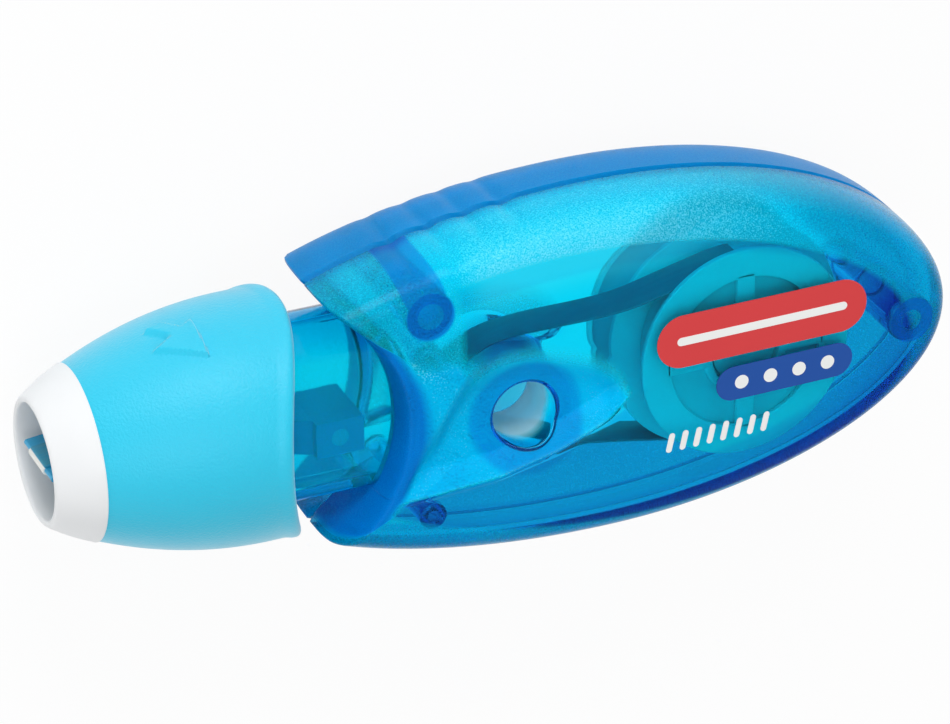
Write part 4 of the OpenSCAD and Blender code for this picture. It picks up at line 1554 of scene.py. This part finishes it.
@dataclass
class FilmRun:
    """The film between the reels, the guide tube, the neck and the blade."""

    datum: Datum
    shell: BodyShell
    reels: Reels
    width: float = 4.2
    thick: float = 0.22
    travel: float = 7.0
    clear: float = 0.3
    path_gap: float = 0.2
    wrap: float = 28.0
    block_half_h: float = 1.9
    block_x: float = 27.6
    knee_x: float = 16.5
    blade_back: float = 9.0
    blade_root: float = 1.2
    blade_nose: float = 0.3
    blade_tip: float = 0.4
    tail_gap: float = 1.4
    end_gap: float = 0.7
    roll_wrap: float = 14.0
    sheer_from: float = 3.0
    sheer_to: float = 10.0
    # The film's edge and the points along its runs.
    edge_round: float = 0.05
    edge_steps: int = 3
    arc_steps: int = 14
    lift_steps: int = 30
    entry_steps: int = 8
    run_steps: int = 61
    blade_steps: int = 17
    coat_start: int = 3

    @property
    def tail_half(self) -> float:
        """Half of the height of the loop's tail behind the carriage."""
        return self.block_half_h + self.clear + self.thick / 2

    @property
    def strand_half(self) -> float:
        """Half of the height between the fixed strands in the neck."""
        return self.tail_half + self.thick + self.clear

    @property
    def tail_end(self) -> float:
        """Rear end of the loop's tail."""
        return self.shell.hole_x - self.shell.tube_r - self.tail_gap

    def section(self) -> Array:
        """Rounded section of the film: its thickness along the normal and its width along Z.

        Returns:
            Points of the section, one row each.
        """
        t, w = self.thick / 2, self.width / 2
        corners = ((-t, -w), (t, -w), (t, w), (-t, w))
        return rounded([(*corner, self.edge_round) for corner in corners], self.edge_steps)

    @staticmethod
    def arc(centre: Any, radius: float, ends: tuple[float, float], steps: int) -> Array:
        """Points on an arc, by its centre, radius and the angles in degrees that it runs between."""
        turn = np.radians(np.linspace(*ends, steps))
        return np.array(centre) + radius * np.stack([np.cos(turn), np.sin(turn)], axis=-1)

    def post_place(self) -> tuple[float, float, float]:
        """Place and path radius of the film posts, which touch the strand in the neck and the guide tube.

        Returns:
            Place along X, height above the hole's middle and radius of the film's path.
        """
        guide = self.shell.tube_r + self.path_gap + self.thick / 2
        post = self.shell.post_r + self.path_gap + self.thick / 2
        up = self.strand_half + post
        top = math.radians(90 + self.wrap)
        x = self.shell.hole_x + (guide + post - up * math.sin(top)) / math.cos(top)
        return x, up, post

    def strand(self, side: int) -> tuple[Array, Array, Array]:
        """A fixed strand: from the neck over its post and the guide tube to its reel, a flat ribbon.

        It turns on the post and the tube by arcs, and leaves for the reel along their common tangent. Its
        level rises from the seam's to the reel's by a smooth step that ends just outside the reels' flanges.

        Args:
            side: 1 for the upper strand, to the supply roll, or -1 for the lower, to the take-up roll.

        Returns:
            Points, path by section, and the marks of the coat and of the sheer film, the same here.
        """
        shell, reels = self.shell, self.reels
        hole = np.array([shell.hole_x, shell.hole_y])
        reel = np.array([reels.x, reels.y])
        radius, level = reels.roll_r + self.clear, (reels.roll_top + reels.roll_low) / 2
        if side < 0:
            radius = reels.take_up_r + self.clear
            level = (reels.take_up_top + reels.take_up_low + reels.flange_t) / 2
        guide = shell.tube_r + self.path_gap + self.thick / 2
        post_x, post_y, post = self.post_place()
        gap = reel - hole
        bearing = math.degrees(math.atan2(gap[1], gap[0]))
        lean = math.degrees(math.acos((radius - guide) / np.linalg.norm(gap)))
        normal = 180 + bearing - side * lean - (0 if side > 0 else 360)
        top = side * (90 + self.wrap)
        end_x = self.tail_end - self.travel - self.end_gap
        start = np.array([[end_x, shell.hole_y + side * self.strand_half]])
        foot = 270 if side > 0 else 90
        post_middle = (post_x, shell.hole_y + side * post_y)
        over_post = self.arc(post_middle, post, (foot, top + 180), self.arc_steps)
        over_tube = self.arc(hole, guide, (top, normal), self.arc_steps)
        away = np.array([math.cos(math.radians(normal)), math.sin(math.radians(normal))])
        touch = reel + radius * away
        lift = np.linspace(0, 1, self.lift_steps)[1:, None]
        free = over_tube[-1] + (touch - over_tube[-1]) * lift
        wound = self.arc(reel, radius, (normal, normal - side * self.roll_wrap), self.arc_steps)[1:]
        entry = start + (over_post[0] - start) * np.linspace(0, 1, self.entry_steps)[:-1, None]
        path = np.concatenate([entry, over_post, over_tube, free, wound])
        run = np.linalg.norm(touch - over_tube[-1])
        reach = math.sqrt((reels.flange_r + self.clear) ** 2 - radius**2)
        heights = np.zeros(len(path))
        heights[-len(free) - len(wound):] = level
        heights[-len(free) - len(wound):-len(wound)] *= smooth_step(0, 1 - reach / run, lift[:, 0])
        coat = smooth_step(shell.hole_x - self.sheer_from, shell.hole_x - self.sheer_to, path[:, :1])
        return sweep(path, path_normals(path), heights, self.section()), coat, coat

    def loop(self) -> tuple[Array, Array, Array]:
        """The film round the blade, from its upper tail over the blade's edge to its lower tail.

        Straight runs join at the carriage's block, knee and blade root, and a half circle turns round the
        edge. The coat shows from the edge on.

        Returns:
            Points, path by section, and the marks of the coat and of the sheer film along the path.
        """
        y, t = self.shell.hole_y, self.thick / 2
        edge_x = self.blade_tip + self.blade_nose
        root = self.blade_root + self.clear + t
        sides = [np.array([[self.tail_end, y + s * self.tail_half], [self.block_x, y + s * self.tail_half],
                           [self.knee_x, s * root], [self.blade_back, s * root],
                           [edge_x, s * (self.blade_nose + t)]]) for s in (1, -1)]
        stops = np.arange(len(sides[0]))
        share = np.linspace(0, stops[-1], self.run_steps)
        runs = [np.stack([np.interp(share, stops, line) for line in side.T], axis=-1) for side in sides]
        edge = self.arc((edge_x, 0.0), self.blade_nose + t, (90, 270), self.blade_steps)
        path = np.concatenate([runs[0], edge[1:-1], runs[1][::-1]])
        points = sweep(path, path_normals(path), np.zeros(len(path)), self.section())
        sheer = path[:, 0] > self.knee_x
        coated = (np.arange(len(path)) >= len(runs[0]) + self.coat_start) | sheer
        return points, coated[:, None].astype(float), sheer[:, None].astype(float)

    def build(self, film: Material, tip_film: Material) -> list[Piece]:
        """Makes both strands and the loop.

        Args:
            film: Finish of the strands.
            tip_film: Finish of the loop.

        Returns:
            The three pieces.
        """
        pieces = []
        for node, ribbon, body, finish in (("tape_upper_strand", self.strand(1), "housing", film),
                                           ("tape_lower_strand", self.strand(-1), "housing", film),
                                           ("tape_tip_loop", self.loop(), "tip", tip_film)):
            points, coat, sheer = ribbon
            surface = Surface()
            surface.add_grid(points, wrap_columns=True, frost=coat, tone=sheer)
            item = surface.build(node + "_film", self.datum)
            pieces.append(Piece(item, body, "tape_film", finish, (node,)))
        return pieces


@dataclass
class WindowPrint:
    """Generic print on the window: a red pad with a white stripe, a navy one with dots, a white gauge."""

    datum: Datum
    shell: BodyShell
    ink_t: float = 0.03
    sunk: float = 0.02
    middle: tuple[float, float] = (73.5, 2.8)
    long_half: float = 11.6
    tall_half: float = 2.9
    stripe_half: float = 0.45
    stripe_inset: float = 2.2
    pad_turns: int = 72
    foot_rings: tuple[float, ...] = (0.02, 0.5, 1.0)
    top_rings: tuple[float, ...] = (1.0, 0.75, 0.5, 0.25, 0.02)
    small: tuple[float, float] = (76.0, -3.2)
    small_long: float = 7.6
    small_tall: float = 1.9
    dot_r: float = 0.75
    dot_pitch: float = 3.2
    dot_count: int = 4
    gauge: tuple[float, float] = (63.4, -8.4)
    tick_pitch: float = 1.5
    tick_count: int = 8
    tick_half_w: float = 0.32
    tick_half_h: float = 1.1
    tick_lean: float = 78.0

    def pad(self, place: tuple[float, float], long_half: float, tall_half: float, layer: int,
            lean: float = 0.0) -> Array:
        """A printed pad with round ends that follows the face: rings of a capsule outline, foot to top.

        The outline is a circle whose two halves are pulled apart by the difference of its half sizes. Each
        ring is that outline shrunk towards the middle, set on the face's level.

        Args:
            place: Middle of the pad.
            long_half: Half of its length.
            tall_half: Half of its height.
            layer: 0 on the plastic, 1 on another ink.
            lean: Turn of the pad in degrees.

        Returns:
            Points, rings by outline by x, y and z.
        """
        turn = full_turn(self.pad_turns)
        pull = (long_half - tall_half) * np.sign(np.cos(turn))
        along, across = pull + tall_half * np.cos(turn), tall_half * np.sin(turn)
        cos, sin = math.cos(math.radians(lean)), math.sin(math.radians(lean))
        outline = np.stack([along * cos - across * sin, along * sin + across * cos], axis=-1)
        top, foot = self.ink_t * (layer + 1), self.ink_t * layer - self.sunk
        rings = []
        levels = [(share, foot) for share in self.foot_rings] + [(share, top) for share in self.top_rings]
        for share, rise in levels:
            flat = np.array(place) + share * outline
            level = self.shell.face_level(flat[:, 0], flat[:, 1]) + rise
            rings.append(np.concatenate([flat, level[:, None]], axis=1))
        return np.stack(rings)

    def pads(self) -> dict[Ink, list[Array]]:
        """All pads by ink.

        Returns:
            Points of each pad, in a list for each ink.
        """
        dots = np.arange(self.dot_count) - (self.dot_count - 1) / 2
        white = [self.pad(self.middle, self.long_half - self.stripe_inset, self.stripe_half, 1)]
        for k in dots:
            place = (self.small[0] + k * self.dot_pitch, self.small[1])
            white.append(self.pad(place, self.dot_r, self.dot_r, 1))
        for k in range(self.tick_count):
            place = (self.gauge[0] + k * self.tick_pitch, self.gauge[1])
            white.append(self.pad(place, self.tick_half_h, self.tick_half_w, 0, self.tick_lean))
        return {Ink.RED: [self.pad(self.middle, self.long_half, self.tall_half, 0)],
                Ink.NAVY: [self.pad(self.small, self.small_long, self.small_tall, 0)], Ink.WHITE: white}

    def build(self, inks: dict[Ink, Material]) -> list[Piece]:
        """Makes one piece of each ink.

        Args:
            inks: A finish for each ink.

        Returns:
            The three pieces.
        """
        pieces = []
        for ink, pads in self.pads().items():
            surface = Surface()
            for points in pads:
                surface.add_grid(points, wrap_columns=True)
            item = surface.build("window_print_" + ink.name.lower(), self.datum)
            pieces.append(Piece(item, "housing", "white_plastic", inks[ink]))
        return pieces


@dataclass
class Studio:
    """Pale floor, soft lamps and a camera at the photograph's viewing angle."""

    datum: Datum
    floor_half: float = 3.0
    floor_colour: str = "#F4F5F6"
    seen_share: float = 0.93
    world_strength: float = 0.46
    turn: float = 22.507
    lift: float = 28.356
    roll: float = 1.138
    focal_px: float = 4968.4
    distance_mm: float = 492.58
    target_mm: tuple[float, float, float] = (46.09, 0.44, 0.0)
    sensor_mm: float = 36.0
    clip_start: float = 0.01
    # Each lamp: name, place, size and power, in metres and watts.
    lamps: tuple[tuple[str, tuple[float, float, float], float, float], ...] = (
        ("key", (-0.04, 0.64, 0.3), 0.34, 2.3), ("top", (-0.2, 0.15, 0.72), 0.5, 1.7),
        ("low", (-0.55, -0.4, 0.3), 0.6, 0.8))

    def floor(self) -> None:
        """Lays a plain floor, white to the eye, in reflections and through clear plastic, with shadows."""
        h = self.floor_half
        mesh = bpy.data.meshes.new("floor")
        mesh.from_pydata([(-h, -h, 0), (h, -h, 0), (h, h, 0), (-h, h, 0)], [], [(0, 1, 2, 3)])
        item = bpy.data.objects.new("floor", mesh)
        bpy.context.scene.collection.objects.link(item)
        material, tree = blank_material("studio_paper")
        path = add_node(tree, "LightPath", {}).outputs
        shiny = maths(tree, "MAXIMUM", path["Is Glossy Ray"], path["Is Transmission Ray"])
        seen = maths(tree, "MAXIMUM", path["Is Camera Ray"], shiny)
        share = maths(tree, "MULTIPLY", seen, self.seen_share)
        paper = add_node(tree, "BsdfDiffuse", {"Color": linear(self.floor_colour)})
        white = add_node(tree, "Emission", {"Strength": 1.0})
        both = add_node(tree, "MixShader", {0: share, 1: paper, 2: white})
        add_node(tree, "OutputMaterial", {"Surface": both})
        mesh.materials.append(material)

    def light(self) -> None:
        """Sets a plain white surround and large square lamps that face the part."""
        world = bpy.data.worlds.new("studio")
        world.use_nodes = True
        around = world.node_tree.nodes["Background"].inputs
        around["Color"].default_value = (1.0, 1.0, 1.0, 1.0)
        around["Strength"].default_value = self.world_strength
        bpy.context.scene.world = world
        for name, place, size, power in self.lamps:
            lamp = bpy.data.lights.new(name, "AREA")
            lamp.size = size
            lamp.energy = power
            item = bpy.data.objects.new(name, lamp)
            away = np.array(place) / np.linalg.norm(place)
            side = np.cross((0.0, 0.0, 1.0), away)
            side /= np.linalg.norm(side)
            axes = np.stack([side, np.cross(away, side), away], axis=1)
            item.matrix_world = Matrix.Translation(place) @ Matrix(axes.tolist()).to_4x4()
            bpy.context.scene.collection.objects.link(item)

    def camera(self) -> None:
        """Sets the camera by its turn round Y, lift and roll, at a distance from a point of the part."""
        a, e, roll = (math.radians(v) for v in (self.turn, self.lift, self.roll))
        away = np.array([-math.sin(a) * math.cos(e), math.sin(e), math.cos(a) * math.cos(e)])
        right = np.array([math.cos(a), 0.0, math.sin(a)])
        up = np.cross(away, right)
        turned_right = math.cos(roll) * right - math.sin(roll) * up
        turned_up = math.sin(roll) * right + math.cos(roll) * up
        place = self.datum.place(np.array(self.target_mm) + self.distance_mm * away)
        data = bpy.data.cameras.new("camera")
        data.sensor_width = self.sensor_mm
        data.lens = self.focal_px * self.sensor_mm / IMAGE_WIDTH
        data.clip_start = self.clip_start
        item = bpy.data.objects.new("camera", data)
        axes = Matrix(np.stack([turned_right, turned_up, away], axis=1).tolist()).to_4x4()
        item.matrix_world = Matrix.Translation(place) @ axes
        bpy.context.scene.collection.objects.link(item)
        bpy.context.scene.camera = item


class Plastic(Enum):
    """The moulded finishes, by use, with what each gives the eye."""

    # A calm white with a faint glow in its edges.
    WHITE = MouldedPlastic("polypropylene_white_moulded", "#ECEEEF", "#E8EAEC", rough=0.4, glow=0.1)
    # A bright, sandy light blue that pales where it turns away.
    SLEEVE = MouldedPlastic("polypropylene_light_blue_sleeve", "#18C7E7", "#12C2E4", rough=0.44,
                            grain_mm=0.26, grain_strength=1.0, ior=1.45, glow=0.1, sheen=0.45)
    # A plain mid blue, smooth, deep inside the neck.
    CARRIAGE = MouldedPlastic("acetal_blue_moulded", "#1C98E0", "#1890D8")
    # Nearly white with a breath of blue, the bright ring behind the window.
    REEL = MouldedPlastic("polypropylene_natural_reel", "#F2FBFD", "#EAF8FB", grain_strength=0.05)
    # Natural plastic that lets light through, so that the disc behind looks pale.
    DRUM = MouldedPlastic("polypropylene_natural_drum", "#E6F8FC", "#DCF4FA", rough=0.3,
                          grain_strength=0.05, ior=1.15, clear=0.65)
    # Dull black without a highlight.
    RUBBER = MouldedPlastic("nitrile_rubber_black", "#17181A", "#1D1E20", rough=0.8, grain_mm=0.1,
                            grain_strength=0.3)
    # Pale layered edges of the wound film.
    WOUND = MouldedPlastic("wound_film_edges", "#D5E9EE", "#C6E0E7", rough=0.5, grain_mm=0.1,
                           grain_strength=0.2)
    # A cyan wedge in the nose's opening.
    BLADE = MouldedPlastic("acetal_cyan_moulded", "#22A9D8", "#1EA2D2")
    # A small light blue dot in the neck.
    PIN = MouldedPlastic("acetal_light_blue_moulded", "#4FB9EA", "#48B2E4")


def ink(colour: Ink) -> MouldedPlastic:
    """Screen-printed ink: an even satin coat with the faint weave of the mesh."""
    return MouldedPlastic("screen_ink_" + colour.name.lower(), *colour.value, rough=0.38, grain_mm=0.12,
                          grain_strength=0.08)


def dress_nodes(frame: dict[str, Any], finishes: dict[str, Material]) -> None:
    """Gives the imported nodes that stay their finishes.

    Args:
        frame: The loaded frame.
        finishes: A finish for each node by name.
    """
    for node, finish in finishes.items():
        for slot in frame["nodes"][node].material_slots:
            slot.material = finish
        LOG.info("%s: packed node in %s", node, finish.name)


def main() -> None:
    """Loads the frame, builds the sub-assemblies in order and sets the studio."""
    logging.basicConfig(level=logging.INFO, format="%(message)s")
    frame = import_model()
    bpy.context.scene.view_settings.view_transform = "Standard"
    datum = Datum.from_frame()
    clear = TintedPolystyrene()
    # The back shell has no web mark in its palm band.
    back = replace(clear, name="tinted_polystyrene_back", marks=clear.marks[::2])
    tinted = {Side.WINDOW: clear.material(datum), Side.BACK: back.material(datum)}
    plastic = {use: use.value.material() for use in Plastic}
    film = CoatedFilm().material()
    tip_film = CoatedFilm(name="release_film_on_blade", bare="#1C9AC9").material()
    steel = DrawnSteel().material()
    shells = [BodyShell.from_frame(datum, side, frame["record"]) for side in Side]
    reels = Reels.from_frame(datum, frame["joints"])
    run = FilmRun(datum, shells[0], reels)
    axle = (reels.x, reels.y, reels.axle_top)
    pieces = [shell.build(tinted[shell.side], run.post_place()[:2], axle) for shell in shells]
    pieces += TwistCap.from_frame(datum).build(plastic[Plastic.SLEEVE], plastic[Plastic.WHITE])
    pieces += reels.build(plastic[Plastic.REEL], plastic[Plastic.DRUM], plastic[Plastic.WOUND])
    pieces += run.build(film, tip_film)
    pieces += WindowPrint(datum, shells[0]).build({colour: ink(colour).material() for colour in Ink})
    for piece in pieces:
        piece.settle()
    dress_nodes(frame, {
        "cap_retaining_ring": steel, "cap_drag_ring": plastic[Plastic.RUBBER],
        "tip_carriage": plastic[Plastic.CARRIAGE], "follower_peg": plastic[Plastic.WHITE],
        "applicator_tip": plastic[Plastic.BLADE], "cross_pin": plastic[Plastic.PIN],
        "clutch_disc": plastic[Plastic.RUBBER], "clutch_washer": steel, "clutch_spring": steel,
        "axle_cap": plastic[Plastic.WHITE]})
    studio = Studio(datum)
    studio.floor()
    studio.light()
    studio.camera()


if __name__ == "__main__":
    main()
